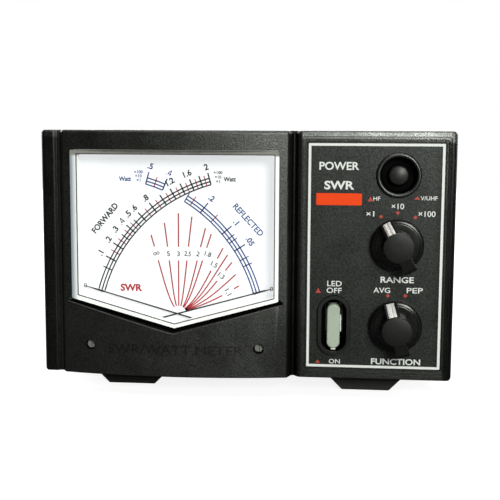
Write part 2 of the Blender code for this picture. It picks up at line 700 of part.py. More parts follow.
def nose_strip(sunk, proud, short):
    """Side view of a strip lying along the sloping nose, from sunk below it to proud above it."""
    low = Vector((POINTER_REACH, NOSE_FRONT))
    high = Vector((4.6 * MM, GRIP_FRONT + 0.3 * MM))
    along = (high - low).normalized()
    out = Vector((-along.y, along.x))
    out = out if out.y < 0 else -out
    start = low - along * (proud if short == 0 else -short)
    end = high - along * (0.5 * MM + short)
    corners = [start - out * sunk, start + out * proud, end + out * proud, end - out * sunk]
    return [tuple(corner) for corner in corners]


def lean_solid(name, side_view, width, centre, lean, finish=None):
    """A side view of (reach, y) pairs, reach being towards the pointer, thickened to width and
    turned about the knob's axis to lean left of upright."""
    where = (centre[0], 0, centre[1])
    return outline_solid(name, [side_view], width, finish, where, (0, -math.radians(90) - lean, 0))


def rotary_switch(name, centre):
    """The switch behind the wall, the shaft that the knob turns, and the nut under the knob."""
    inner = SHAFT_RADIUS + RUNNING
    front, back = CONTROL_WALL_BACK + GAP, 15 * MM
    profile = [(inner, -1.8 * MM), (BUSHING_RADIUS, -1.8 * MM), (BUSHING_RADIUS, front)]
    profile += [(10.4 * MM, front), (10.4 * MM, back), (inner, back)]
    turned(f"{name}_switch", profile, centre, CREAM_PLASTIC, steps=32)
    shaft = [(0, SHAFT_FRONT), (SHAFT_RADIUS - 0.3 * MM, SHAFT_FRONT), (SHAFT_RADIUS, SHAFT_FRONT + 0.3 * MM)]
    shaft += [(SHAFT_RADIUS, 16 * MM), (0, 16 * MM)]
    turned(f"{name}_shaft", shaft, centre, BRIGHT_METAL, steps=24)
    corner = 6.6 * MM
    hexagon = circle(centre, corner, 6)
    nut = [hexagon, circle(centre, BUSHING_RADIUS + RUNNING, 24)]
    front_plate(f"{name}_nut", nut, -1.5 * MM, 0.2 * MM - GAP, PLATED_STEEL)


# ---------------------------------------------------------------- push buttons

PLUNGER_RADIUS = 1.7 * MM
PLUNGER_BACK = 16 * MM
PUSH_SWITCH_FRONT = 12 * MM
PUSH_SWITCH_BACK = 26 * MM
CAP_BACK = 5.2 * MM


def sensor_button():
    """The round button that swaps couplers, with a domed cap."""
    cap = [(0, 0.1 * MM), (1.6 * MM, 0.2 * MM), (2.8 * MM, 0.5 * MM), (3.5 * MM, 1.0 * MM)]
    cap += [(SENSOR_CAP, 1.6 * MM), (SENSOR_CAP, CAP_BACK), (PLUNGER_RADIUS, CAP_BACK)]
    cap += [(PLUNGER_RADIUS, PLUNGER_BACK), (0, PLUNGER_BACK)]
    turned("sensor_button", cap, SENSOR_BUTTON, BLACK_PLASTIC, steps=32)


def led_button():
    """The long grey button that lights the dial."""
    outline = stadium(LED_BUTTON, *LED_CAP)
    cap = front_plate("led_button", [outline], LED_CAP_FRONT, CAP_BACK, GREY_PLASTIC, LED_BUTTON)
    soften(cap, 0.35 * MM)
    join(cap, rod("led_plunger", PLUNGER_RADIUS, LED_BUTTON, 5 * MM, PLUNGER_BACK))


def push_switch(name, centre):
    """A square latching switch whose front the plunger enters."""
    x, z = centre
    half = 4.2 * MM
    low, high = (x - half, PUSH_SWITCH_FRONT, z - half), (x + half, PUSH_SWITCH_BACK, z + half)
    body = box(f"{name}_switch", low, high, CREAM_PLASTIC)
    room = PLUNGER_BACK + BUTTON_TRAVEL + MM
    cut(body, rod(f"{name}_switch_bore", PLUNGER_RADIUS + 0.2 * MM, centre, 8 * MM, room))
    spring(f"{name}_spring", centre, CAP_BACK + 0.3 * MM, PUSH_SWITCH_FRONT - 0.3 * MM)


def spring(name, centre, front, back, coil_radius=2.15 * MM, wire=0.22 * MM, turns=5):
    """A return spring round the plunger, as a bevelled wire along a helix."""
    curve = bpy.data.curves.new(name, "CURVE")
    curve.dimensions = "3D"
    curve.bevel_depth = wire
    curve.bevel_resolution = 1
    curve.use_fill_caps = True
    per_turn = 12
    count = turns * per_turn
    line = curve.splines.new("POLY")
    line.points.add(count)
    for i, point in enumerate(line.points):
        angle = 2 * math.pi * i / per_turn
        y = front + wire + (back - front - 2 * wire) * i / count
        point.co = (coil_radius * math.cos(angle), y, coil_radius * math.sin(angle), 1)
    obj = bpy.data.objects.new(name, curve)
    obj.location = (centre[0], 0, centre[1])
    obj.parent = ROOT
    curve.materials.append(finish_material(name, PLATED_STEEL))
    PARTS.objects.link(obj)
    return obj


# ---------------------------------------------------------------- case


def chassis():
    """One bent sheet: floor, front flange and rear wall, with low side flanges for the cover."""
    sheet = CHASSIS_SHEET
    low, top = CASE_BOTTOM, CASE_TOP - COVER_SHEET - 0.4 * MM
    bend = 1.5 * MM
    front, rear = CASE_FRONT, CASE_REAR
    section = [(front, top, 0), (front, low, bend + sheet), (rear, low, bend + sheet), (rear, top, 0)]
    section += [(rear - sheet, top, 0), (rear - sheet, low + sheet, bend)]
    section += [(front + sheet, low + sheet, bend), (front + sheet, top, 0)]
    half = CASE_HALF - COVER_SHEET - 0.4 * MM
    tray = side_plate("chassis", [fillet(section, 3)], -half, half, PAINTED_STEEL)
    for side in (-1, 1):
        xs = sorted((side * half, side * (half - sheet)))
        flange = box(f"side_flange_{side}", (xs[0], 22 * MM, low + 0.3 * MM), (xs[1], 102 * MM, 13 * MM))
        join(tray, flange)
    low = METER_LOW - 0.3 * MM
    meter_gap = ((METER_SIDES[0] - MM, 8 * MM, low), (METER_SIDES[1] + MM, 14.4 * MM, METER_TOP + MM))
    switch_gap = ((21 * MM, 8 * MM, 6 * MM), (73 * MM, 14 * MM, 86 * MM))
    cutters = [box("meter_gap_cutter", *meter_gap), box("switch_gap_cutter", *switch_gap)]
    for name, x in zip(SOCKET_NAMES, SOCKET_X):
        cutters.append(rod(f"{name}_cutter", SOCKET_RADIUS + 0.3 * MM, (x, SOCKET_Z), 105 * MM, 118 * MM))
    cutters.append(rod("dc_cutter", 4.0 * MM, DC_JACK, 105 * MM, 118 * MM))
    for i, (side, y) in enumerate(side_screw_places()):
        cutters.append(cross_rod(f"flange_hole_{i}", 1.6 * MM, side * 68 * MM, side * 80 * MM, y))
    return cut(tray, *cutters)


def side_screw_places():
    return [(side, y) for side in (-1, 1) for y in (32 * MM, 92 * MM)]


def cross_rod(name, radius, start, end, y, finish=None, steps=16):
    """A cylinder along X at the height of the side screws."""

    def build(bm):
        bmesh.ops.create_cone(
            bm, cap_ends=True, segments=steps, radius1=radius, radius2=radius, depth=abs(end - start)
        )

    where = ((start + end) / 2, y, SIDE_SCREW_Z)
    return place(name, mesh_of(build), finish, where, (0, math.radians(90), 0))


def top_cover():
    """The inverted tray that covers the top and sides, with two rows of cooling slots."""
    sheet, outer, inner = COVER_SHEET, CASE_HALF, CASE_HALF - COVER_SHEET
    bottom = CASE_BOTTOM + 0.1 * MM
    corners = [(-outer, bottom, 0), (-inner, bottom, 0), (-inner, CASE_TOP - sheet, 1.2 * MM)]
    corners += [(inner, CASE_TOP - sheet, 1.2 * MM), (inner, bottom, 0), (outer, bottom, 0)]
    corners += [(outer, CASE_TOP, 2.2 * MM), (-outer, CASE_TOP, 2.2 * MM)]
    cover = front_plate("top_cover", [fillet(corners, 3)], CASE_FRONT, CASE_REAR + 0.6 * MM, PAINTED_STEEL)
    slots = [cooling_slots("front_slots", 40 * MM), cooling_slots("rear_slots", 76 * MM)]
    for i, (side, y) in enumerate(side_screw_places()):
        slots.append(cross_rod(f"cover_hole_{i}", 1.6 * MM, side * 68 * MM, side * 80 * MM, y))
    return cut(cover, *slots)


def cooling_slots(name, y):
    """One cutter with a row of slots, repeated across the cover by an Array."""
    pitch, count, width, length = 8 * MM, 9, 2.4 * MM, 20 * MM
    first = -pitch * (count - 1) / 2
    outline = stadium((0, 0), width / 2, length / 2, 4)
    row = outline_solid(name, [outline], 10 * MM, None, (first, y, CASE_TOP), (0, 0, 0))
    array = row.modifiers.new("repeat", "ARRAY")
    array.count = count
    array.use_relative_offset = False
    array.use_constant_offset = True
    array.constant_offset_displace = (pitch, 0, 0)
    return row


def side_screw(number, side, y):
    """A pan-head screw with a cross recess, holding the cover to the chassis flange."""
    name = f"side_screw_{number}"
    profile = [(0, -1.3 * MM), (1.6 * MM, -1.15 * MM), (2.5 * MM, -0.7 * MM), (2.8 * MM, 0), (1.35 * MM, 0)]
    profile += [(1.35 * MM, 5 * MM), (0, 5 * MM)]
    screw = turned(name, profile, (0, 0), PLATED_STEEL, steps=20)
    screw.location = (side * (CASE_HALF + GAP), y, SIDE_SCREW_Z)
    screw.rotation_euler = (0, side * math.radians(90), 0)
    for k, (half_y, half_z) in enumerate(((1.5, 0.3), (0.3, 1.5))):
        xs = sorted((side * (CASE_HALF + 0.7 * MM), side * (CASE_HALF + 3 * MM)))
        low = (xs[0], y - half_y * MM, SIDE_SCREW_Z - half_z * MM)
        high = (xs[1], y + half_y * MM, SIDE_SCREW_Z + half_z * MM)
        cut(screw, box(f"{name}_recess_{k}", low, high))
    return screw


def foot(name, x, front):
    """A tapered rubber foot, wide where it meets the case and narrow on the ground."""
    top = CASE_BOTTOM - GAP
    half = FOOT_BOTTOM_WIDTH / 2
    spread = half + (top + FOOT_DROP)
    outline = [(x - half, -FOOT_DROP, 0.5 * MM), (x + half, -FOOT_DROP, 0.5 * MM)]
    outline += [(x + spread, top, 0), (x - spread, top, 0)]
    return front_plate(name, [fillet(outline, 2)], front, front + FOOT_DEPTH, RUBBER)


def feet():
    for end, front in (("front", CASE_FRONT + MM), ("rear", CASE_REAR - FOOT_DEPTH - 3 * MM)):
        for side, x in (("left", -FOOT_X), ("right", FOOT_X)):
            foot(f"{end}_{side}_foot", x, front)


# ---------------------------------------------------------------- inside and rear

DC_JACK = (0, 22 * MM)


def coax_socket(name, x):
    """A threaded coaxial socket with its white insulator and centre contact."""
    centre = (x, SOCKET_Z)
    back = CASE_REAR + SOCKET_REACH
    flange = CASE_REAR - CHASSIS_SHEET - GAP
    bore = 6.1 * MM
    outer = SOCKET_RADIUS
    shell = [(bore, flange - 2 * MM), (10 * MM, flange - 2 * MM), (10 * MM, flange), (outer, flange)]
    shell += [(outer, back - 0.6 * MM), (outer - 0.6 * MM, back), (bore, back)]
    turned(f"{name}_socket", shell, centre, BRIGHT_METAL, steps=32)
    contact, face = 2.9 * MM, back - SOCKET_MOUTH
    plug, hole = bore - GAP, contact + GAP
    ring = [(hole, flange - 2 * MM), (plug, flange - 2 * MM), (plug, face), (hole, face)]
    turned(f"{name}_insulator", ring, centre, WHITE_PLASTIC, steps=24)
    pin_bore = 2.05 * MM
    pin = [(0, flange - 4 * MM), (contact, flange - 4 * MM), (contact, face), (pin_bore, face)]
    pin += [(pin_bore, face - 9 * MM), (0, face - 9 * MM)]
    turned(f"{name}_contact", pin, centre, BRASS, steps=20)


def coupler(name, x):
    """The shielded directional coupler behind a pair of sockets."""
    wide, deep, tall = COUPLER_SIZE
    back = CASE_REAR - CHASSIS_SHEET - GAP - 2 * MM - GAP
    low = (x - wide / 2, back - deep, SOCKET_Z - tall / 2)
    high = (x + wide / 2, back, SOCKET_Z + tall / 2)
    shield = box(f"{name}_coupler", low, high, PLATED_STEEL)
    room = box(f"{name}_coupler_room", tuple(c + 1.2 * MM for c in low), tuple(c - 1.2 * MM for c in high))
    openings = []
    for i, offset in enumerate((-14, 14)):
        centre = (x + offset * MM, SOCKET_Z)
        openings.append(rod(f"{name}_coupler_hole_{i}", 4 * MM, centre, back - 3 * MM, back + 3 * MM))
    return cut(shield, room, *openings)


def dc_jack():
    """The power jack in the rear wall."""
    inner_face = CASE_REAR - CHASSIS_SHEET - GAP
    barrel = [(0, inner_face - 10 * MM), (5.4 * MM, inner_face - 10 * MM), (5.4 * MM, inner_face)]
    barrel += [(3.8 * MM, inner_face), (3.8 * MM, CASE_REAR + 1.2 * MM), (2.8 * MM, CASE_REAR + 1.2 * MM)]
    barrel += [(2.8 * MM, inner_face - 7 * MM), (1.0 * MM, inner_face - 7 * MM)]
    barrel += [(1.0 * MM, CASE_REAR + 0.6 * MM), (0, CASE_REAR + 0.6 * MM)]
    turned("dc_jack", barrel, DC_JACK, BLACK_PLASTIC, steps=24)


def main_board():
    """The detector board on the chassis floor, standing on four spacers formed with it."""
    low = (-62 * MM, 34 * MM, 8 * MM)
    high = (62 * MM, 96 * MM, 9.6 * MM)
    board = box("main_board", low, high, GREEN_BOARD)
    for i, (x, y) in enumerate(((-56, 40), (56, 40), (-56, 90), (56, 90))):
        bottom = (x * MM - 3 * MM, y * MM - 3 * MM, CASE_BOTTOM + CHASSIS_SHEET + GAP)
        top = (x * MM + 3 * MM, y * MM + 3 * MM, 8.5 * MM)
        join(board, box(f"spacer_{i}", bottom, top))
    for i, (x, y, height) in enumerate(((-30, 60, 9), (0, 52, 6), (24, 72, 11), (44, 56, 7))):
        bottom = (x * MM - 5 * MM, y * MM - 4 * MM, 9 * MM)
        top = (x * MM + 5 * MM, y * MM + 4 * MM, 9 * MM + height * MM)
        join(board, box(f"component_{i}", bottom, top))
    return board


# ---------------------------------------------------------------- assembly


def build():
    front_bezel()
    control_plate()
    meter_unit()
    for name, z, lean in (("range", RANGE_Z, RANGE_REST), ("function", FUNCTION_Z, FUNCTION_REST)):
        knob(name, (KNOB_X, z), lean)
        rotary_switch(name, (KNOB_X, z))
    sensor_button()
    led_button()
    push_switch("sensor", SENSOR_BUTTON)
    push_switch("led", LED_BUTTON)
    chassis()
    top_cover()
    for number, (side, y) in enumerate(side_screw_places(), 1):
        side_screw(number, side, y)
    feet()
    for name, x in zip(SOCKET_NAMES, SOCKET_X):
        coax_socket(name, x)
    coupler("hf", (SOCKET_X[0] + SOCKET_X[1]) / 2)
    coupler("vuhf", (SOCKET_X[2] + SOCKET_X[3]) / 2)
    dc_jack()
    main_board()


clear_scene()
PARTS = new_collection("swr_meter")
TOOLS = new_collection("cutters")
ROOT = bpy.data.objects.new("front_frame", None)
ROOT.location = (0, -ORIGIN_Y, FOOT_DROP)
PARTS.objects.link(ROOT)
build()
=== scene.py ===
"""Looks of the cross-needle SWR and power meter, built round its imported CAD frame.

Shapes are made in millimetres in the front frame: X to the right, Y backwards from the face of the
control panel, Z up from the underside of the front moulding. piece() then carries each one to the
place of the CAD model, in metres.
"""

import json
import math

import bmesh
import bpy
from mathutils import Matrix, Vector

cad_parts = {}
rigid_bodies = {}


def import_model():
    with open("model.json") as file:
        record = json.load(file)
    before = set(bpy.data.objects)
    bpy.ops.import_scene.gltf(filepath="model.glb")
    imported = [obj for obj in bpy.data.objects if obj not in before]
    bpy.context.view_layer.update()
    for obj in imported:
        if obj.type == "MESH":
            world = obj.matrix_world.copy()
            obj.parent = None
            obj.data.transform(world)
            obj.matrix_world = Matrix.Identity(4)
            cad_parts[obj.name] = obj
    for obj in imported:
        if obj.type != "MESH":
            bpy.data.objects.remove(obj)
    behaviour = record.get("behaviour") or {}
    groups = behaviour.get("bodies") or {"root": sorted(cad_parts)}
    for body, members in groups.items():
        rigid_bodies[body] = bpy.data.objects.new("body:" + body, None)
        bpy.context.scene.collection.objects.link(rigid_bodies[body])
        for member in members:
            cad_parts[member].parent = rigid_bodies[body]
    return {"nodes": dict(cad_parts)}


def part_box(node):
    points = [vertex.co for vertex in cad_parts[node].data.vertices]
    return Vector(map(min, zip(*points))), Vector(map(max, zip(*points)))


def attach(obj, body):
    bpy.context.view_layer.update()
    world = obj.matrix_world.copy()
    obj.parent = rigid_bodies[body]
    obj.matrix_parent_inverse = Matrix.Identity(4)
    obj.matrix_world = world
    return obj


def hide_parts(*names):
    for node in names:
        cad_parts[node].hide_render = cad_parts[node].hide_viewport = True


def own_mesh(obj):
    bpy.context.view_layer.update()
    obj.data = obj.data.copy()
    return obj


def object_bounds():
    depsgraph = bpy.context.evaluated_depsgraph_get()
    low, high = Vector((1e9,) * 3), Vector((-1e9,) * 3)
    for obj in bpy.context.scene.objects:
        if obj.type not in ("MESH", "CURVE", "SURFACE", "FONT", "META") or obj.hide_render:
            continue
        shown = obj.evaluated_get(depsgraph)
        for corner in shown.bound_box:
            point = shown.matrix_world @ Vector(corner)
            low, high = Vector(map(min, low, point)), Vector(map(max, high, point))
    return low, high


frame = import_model()
CAD_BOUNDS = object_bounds()

MM = 0.001
BEZEL_DEPTH = 11.0
FRAME_LOW, FRAME_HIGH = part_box("front_bezel")
FRAME_PLACE = Vector(((FRAME_LOW.x + FRAME_HIGH.x) / 2, FRAME_HIGH.y - BEZEL_DEPTH * MM, FRAME_LOW.z))
TO_WORLD = Matrix.Translation(FRAME_PLACE) @ Matrix.Scale(MM, 4)


def extent(node):
    """Lowest and highest corners of a CAD node, in the front frame."""
    return [(corner - FRAME_PLACE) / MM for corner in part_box(node)]


def centre_of(node):
    """(x, z) of the middle of a CAD node, seen from the front."""
    low, high = extent(node)
    return ((low.x + high.x) / 2, (low.z + high.z) / 2)


FACE_LOW, FACE_HIGH = extent("front_bezel")
BODY_HALF = FACE_HIGH.x
BODY_HEIGHT = FACE_HIGH.z
MOVEMENTS = ("forward", "reflected")
COAXIAL_SOCKETS = ("hf_radio", "hf_antenna", "vuhf_radio", "vuhf_antenna")
PIVOTS = {name: centre_of(f"{name}_magnet") for name in MOVEMENTS}
METER_X = (PIVOTS["forward"][0] + PIVOTS["reflected"][0]) / 2
SCREWS = [centre_of(f"{name}_zero_screw") for name in MOVEMENTS]
KNOBS = {"range": centre_of("range_shaft"), "function": centre_of("function_shaft")}
KNOB_LEANS = {"range": 28, "function": 15}  # degrees left of upright
SENSOR = centre_of("sensor_button")
LED = centre_of("led_button")
PLATE_LOW, PLATE_HIGH = extent("control_plate")

# Front moulding
HALF = BODY_HALF + 0.4  # it stands a little proud of the case all round
FLOOR = -0.4
CEILING = BODY_HEIGHT + 0.5
PANEL_HALF = 42.6
PANEL_STEP = 1.8
PANEL_BOW = 4.0
GROOVE_DEPTH = 2.4
SIDE_GROOVE_DEPTH = 0.6
WALL = 2.5
OPENING_HALF = 39.6
OPENING_TOP = 85.2
OPENING_SHOULDER = 28.6
OPENING_TIP = 17.6
RECESS_DEPTH = 1.0
RECESS_GAP = 0.15
SCREW_HOLE = 2.1
BUSHING_HOLE = 4.7
FLARE = 0.04
V_STEP = 1.15
WINDOW_FRONT = -2.1
COLLAR_FRONT = -1.3
CUP_FLOOR = 3.6
SENSOR_COLLAR = 8.2
LED_COLLAR = (6.0, 11.3)
LED_CAP = (2.42, 8.4)

# Dial
ZERO_ANGLE = 15.8
FULL_SWING = 58.5
SCALE_RADII = (60.6, 61.8, 63.1)
SCALE_LAW = 0.535  # power of the power that a needle's deflection follows
DIAL_FACE = extent("dial_plate")[0].y
INK = 0.03  # thickness of printing


# ---------------------------------------------------------------- outlines


def arc(centre, radius, start, end, steps):
    """Points of an arc about centre, from one angle in degrees to the other."""
    angles = [math.radians(start + (end - start) * i / steps) for i in range(steps + 1)]
    return [(centre[0] + radius * math.cos(a), centre[1] + radius * math.sin(a)) for a in angles]


def circle(centre, radius, steps=64):
    return arc(centre, radius, 0, 360, steps)[:-1]


def fillet(corners, steps=8):
    """An outline from (x, y, radius) corners, each rounded by an arc of its radius."""
    points = []
    for i, (x, y, radius) in enumerate(corners):
        corner = Vector((x, y))
        if radius == 0:
            points.append((x, y))
            continue
        before = (Vector(corners[i - 1][:2]) - corner).normalized()
        after = (Vector(corners[(i + 1) % len(corners)][:2]) - corner).normalized()
        half = before.angle(after) / 2
        centre = corner + (before + after).normalized() * (radius / math.sin(half))
        first = corner + before * (radius / math.tan(half)) - centre
        last = corner + after * (radius / math.tan(half)) - centre
        turn = first.angle_signed(last)
        for k in range(steps + 1):
            points.append(tuple(centre + Matrix.Rotation(-turn * k / steps, 2) @ first))
    return points


def rectangle(left, right, bottom, top, radius=0.0, steps=6):
    corners = [(left, bottom), (right, bottom), (right, top), (left, top)]
    return fillet([(x, y, radius) for x, y in corners], steps)


def stadium(centre, half_width, half_height, steps=24):
    """An upright slot shape with round ends."""
    x, z = centre
    straight = half_height - half_width
    upper = arc((x, z + straight), half_width, 0, 180, steps)
    return upper + arc((x, z - straight), half_width, 180, 360, steps)


def window_outline(inset, radius):
    """The pentagon of the window opening, with every side moved inwards by inset."""
    slope = math.atan2(OPENING_SHOULDER - OPENING_TIP, OPENING_HALF)
    half = OPENING_HALF - inset
    tip = OPENING_TIP + inset / math.cos(slope)
    shoulder = tip + half * math.tan(slope)
    top = OPENING_TOP - inset
    corners = [(-half, shoulder), (0, tip), (half, shoulder), (half, top), (-half, top)]
    return fillet([(METER_X + x, z, radius) for x, z in corners], 5)


def bow_y(x):
    """Y of the bowed meter panel's face at x."""
    radius = (PANEL_HALF**2 + PANEL_BOW**2) / (2 * PANEL_BOW)
    rise = math.sqrt(radius**2 - (x - METER_X) ** 2) - (radius - PANEL_BOW)
    return -(PANEL_STEP + rise)


# ---------------------------------------------------------------- solids, in millimetres


def linked(name, data):
    obj = bpy.data.objects.new(name, data)
    bpy.context.scene.collection.objects.link(obj)
    return obj


def built(build):
    """A working object holding what build(bm) makes."""
    bm = bmesh.new()
    build(bm)
    bmesh.ops.recalc_face_normals(bm, faces=bm.faces)
    mesh = bpy.data.meshes.new("work")
    bm.to_mesh(mesh)
    bm.free()
    return linked("work", mesh)


def baked(obj):
    """The mesh of obj as its modifiers leave it."""
    bpy.context.view_layer.update()
    graph = bpy.context.evaluated_depsgraph_get()
    return bpy.data.meshes.new_from_object(obj.evaluated_get(graph))


def discard(obj):
    data = obj.data
    bpy.data.objects.remove(obj, do_unlink=True)
    bpy.data.batch_remove([data])


def meshed(curve):
    """The mesh that a curve or a text makes. The curve itself is discarded."""
    obj = linked("work", curve)
    mesh = baked(obj)
    discard(obj)
    return mesh


def applied(obj, kind, **settings):
    """obj after one modifier, made permanent."""
    modifier = obj.modifiers.new(kind.lower(), kind)
    for key, value in settings.items():
        setattr(modifier, key, value)
    mesh = baked(obj)
    obj.modifiers.clear()
    old, obj.data = obj.data, mesh
    bpy.data.meshes.remove(old)
    return obj


def combine(operation, target, others):
    for other in others:
        applied(target, "BOOLEAN", operation=operation, solver="EXACT", object=other)
        discard(other)
    return target


def cut(target, *others):
    return combine("DIFFERENCE", target, others)


def join(target, *others):
    return combine("UNION", target, others)


def bevelled(target, width, segments=3, angle=50):
    settings = {"limit_method": "ANGLE", "angle_limit": math.radians(angle)}
    return applied(target, "BEVEL", width=width, segments=segments, **settings)


def rounded(target, chosen, width, segments):
    """target with the edges for which chosen(edge) holds rounded to the full width."""
    bm = bmesh.new()
    bm.from_mesh(target.data)
    bm.normal_update()
    edges = [edge for edge in bm.edges if chosen(edge)]
    bmesh.ops.bevel(bm, geom=edges, offset=width, segments=segments, profile=0.5, affect="EDGES")
    bm.to_mesh(target.data)
    bm.free()
    return target


def extruded(outlines, thickness):
    """A flat outline with any further outlines as holes, thickened about its own plane."""
    curve = bpy.data.curves.new("work", "CURVE")
    curve.dimensions = "2D"
    curve.fill_mode = "BOTH"
    curve.extrude = thickness / 2
    for outline in outlines:
        spline = curve.splines.new("POLY")
        spline.points.add(len(outline) - 1)
        for point, (x, y) in zip(spline.points, outline):
            point.co = (x, y, 0, 1)
        spline.use_cyclic_u = True
    mesh = meshed(curve)

    def weld(bm):
        bm.from_mesh(mesh)
        bmesh.ops.remove_doubles(bm, verts=bm.verts, dist=0.001)
        bmesh.ops.dissolve_limit(bm, angle_limit=0.0005, verts=bm.verts, edges=bm.edges)

    obj = built(weld)
    bpy.data.meshes.remove(mesh)
    return obj


def moved(obj, *steps):
    for step in steps:
        obj.data.transform(step)
    return obj


UPRIGHT = Matrix.Rotation(math.radians(90), 4, "X")
SIDEWAYS = Matrix.Rotation(math.radians(90), 4, "Z") @ UPRIGHT


def front_plate(outlines, front, back):
    """Outlines in X and Z, running from y = front to y = back."""
    shift = Matrix.Translation((0, (front + back) / 2, 0))
    return moved(extruded(outlines, back - front), UPRIGHT, shift)


def floor_plate(outlines, bottom, top):
    """Outlines in X and Y, running from z = bottom to z = top."""
    return moved(extruded(outlines, top - bottom), Matrix.Translation((0, 0, (bottom + top) / 2)))


def side_plate(outlines, left, right):
    """Outlines in Y and Z, running from x = left to x = right."""
    shift = Matrix.Translation(((left + right) / 2, 0, 0))
    return moved(extruded(outlines, right - left), SIDEWAYS, shift)


def block(low, high):
    size = Vector(high) - Vector(low)

    def build(bm):
        bmesh.ops.create_cube(bm, size=1)
        bmesh.ops.scale(bm, vec=size, verts=bm.verts)
        bmesh.ops.translate(bm, vec=(Vector(low) + Vector(high)) / 2, verts=bm.verts)

    return built(build)


def turned(profile, centre, steps=96):
    """A profile of (radius, y) pairs turned about the Y axis through centre, an (x, z) pair."""
    ring = profile[0][0] > 0 or profile[-1][0] > 0

    def build(bm):
        points = [bm.verts.new((radius, y, 0)) for radius, y in profile]
        edges = [bm.edges.new(pair) for pair in zip(points, points[1:])]
        if ring:
            edges.append(bm.edges.new((points[-1], points[0])))
        spin = {"cent": (0, 0, 0), "axis": (0, 1, 0), "angle": 2 * math.pi, "steps": steps}
        bmesh.ops.spin(bm, geom=points + edges, **spin)
        bmesh.ops.remove_doubles(bm, verts=bm.verts, dist=0.0005)
        bmesh.ops.translate(bm, vec=(centre[0], 0, centre[1]), verts=bm.verts)

    return built(build)


def rod(radius, centre, front, back, steps=64):
    return turned([(0, front), (radius, front), (radius, back), (0, back)], centre, steps)


def lip(radius, front, width):
    """Profile points of a rounded rim, from its outer side to its inner side."""
    half = width / 2
    angles = [math.radians(15 * i) for i in range(13)]
    return [(radius - half + half * math.cos(a), front + half * (1 - math.sin(a))) for a in angles]


# ---------------------------------------------------------------- materials


def shader_tree(name="finish"):
    material = bpy.data.materials.new(name)
    material.use_nodes = True
    return material, material.node_tree, material.node_tree.nodes["Principled BSDF"]


def feed(tree, target, inputs):
    """Sets inputs of a node, each to a plain value or by a link from a socket."""
    for key, value in inputs.items():
        if isinstance(value, bpy.types.NodeSocket):
            tree.links.new(value, target.inputs[key])
        else:
            target.inputs[key].default_value = value


def node(tree, kind, output, inputs=None, **settings):
    """One output of a new shader node."""
    made = tree.nodes.new(f"ShaderNode{kind}")
    for key, value in settings.items():
        setattr(made, key, value)
    feed(tree, made, inputs or {})
    return made.outputs[output]


def place_in(tree):
    return node(tree, "TexCoord", "Object")


def part(tree, vector, axis):
    return node(tree, "SeparateXYZ", axis, {0: vector})


def noise(tree, size, detail=2.0, stretch=(1, 1, 1)):
    """Noise whose features are about size millimetres across, fixed to the piece."""
    place = node(tree, "Mapping", "Vector", {"Vector": place_in(tree), "Scale": stretch})
    return node(tree, "TexNoise", "Fac", {"Vector": place, "Scale": 1 / (size * MM), "Detail": detail})


def mapped(tree, value, low, high, start=0.3, end=0.7):
    """value from start..end carried to low..high."""
    ends = {"From Min": start, "From Max": end, "To Min": low, "To Max": high}
    return node(tree, "MapRange", "Result", {"Value": value, **ends})


def mixed(tree, factor, first, second):
    """A colour between two, which are colours or sockets."""
    first, second = [(*c, 1) if isinstance(c, tuple) else c for c in (first, second)]
    return node(tree, "Mix", 2, {0: factor, 6: first, 7: second}, data_type="RGBA")


def product(tree, first, second):
    return node(tree, "Math", "Value", {0: first, 1: second}, operation="MULTIPLY")


def surface(colour, roughness, metallic=0.0, grain=0.3, depth=0.01, mottle=0.2, uneven=0.06,
            stretch=(1, 1, 1), specular=0.5, sparkle=0.1):
    """A finish with fine grain, whose size and depth are in millimetres, mottled colour, uneven
    roughness and a sheen that sparkles with the grain."""
    material, tree, shader = shader_tree()
    fine = noise(tree, grain, 3.0, stretch)
    broad = noise(tree, 9.0, 4.0, stretch)
    dark = tuple(channel * (1 - mottle) for channel in colour)
    light = tuple(min(1.0, channel * (1 + mottle)) for channel in colour)
    dull, bright = specular * (1 - sparkle), specular * (1 + sparkle)
    feed(tree, shader, {
        "Base Color": mixed(tree, mapped(tree, fine, 0, 1), dark, light),
        "Roughness": mapped(tree, broad, roughness - uneven, roughness + uneven),
        "Metallic": metallic,
        "Specular IOR Level": mapped(tree, fine, dull, bright, 0.36, 0.64),
        "Normal": node(tree, "Bump", "Normal", {"Distance": depth * MM, "Height": fine}),
    })
    return material


def paint_shade_and_highlight(low, high, share, across=None, soft=0.1, finish="black_moulding"):
    """Paints light into a finish inside a box of the front frame. It multiplies the finish's sheen by share
    there;
    where share is under one it also darkens the colour towards near black, a painted shade as in the depth of
    a recess, and where share is over one it is a painted highlight. The change is spread over soft
    millimetres. With across, it is only where the face turns away from the front by more than that."""
    tree = MATERIALS[finish].node_tree
    shader = tree.nodes["Principled BSDF"]
    low, high = TO_WORLD @ Vector(low), TO_WORLD @ Vector(high)

    def vector(operation, *inputs):
        return node(tree, "VectorMath", "Vector", dict(enumerate(inputs)), operation=operation)

    size = vector("ABSOLUTE", vector("SUBTRACT", place_in(tree), (low + high) / 2))
    over = vector("SUBTRACT", size, (high - low) / 2)
    within = [mapped(tree, part(tree, over, axis), 1, 0, -soft * MM, soft * MM) for axis in "XYZ"]
    inside = product(tree, product(tree, within[0], within[1]), within[2])
    if across is not None:
        turn = part(tree, node(tree, "NewGeometry", "True Normal"), "Y")
        inside = product(tree, inside, mapped(tree, turn, 0, 1, -across, -across + 0.05))
    sheen = shader.inputs["Specular IOR Level"].links[0].from_socket
    colour = shader.inputs["Base Color"].links[0].from_socket
    scale = mapped(tree, inside, 1.0, share, 0, 1)
    feed(tree, shader, {"Specular IOR Level": product(tree, sheen, scale)})
    if share < 1:
        # Painted shade: where share is under one, the colour is drawn towards near black inside the box
        shade = mapped(tree, inside, 0, 1 - share, 0, 1)
        feed(tree, shader, {"Base Color": mixed(tree, shade, colour, (0.0008, 0.0008, 0.0008))})


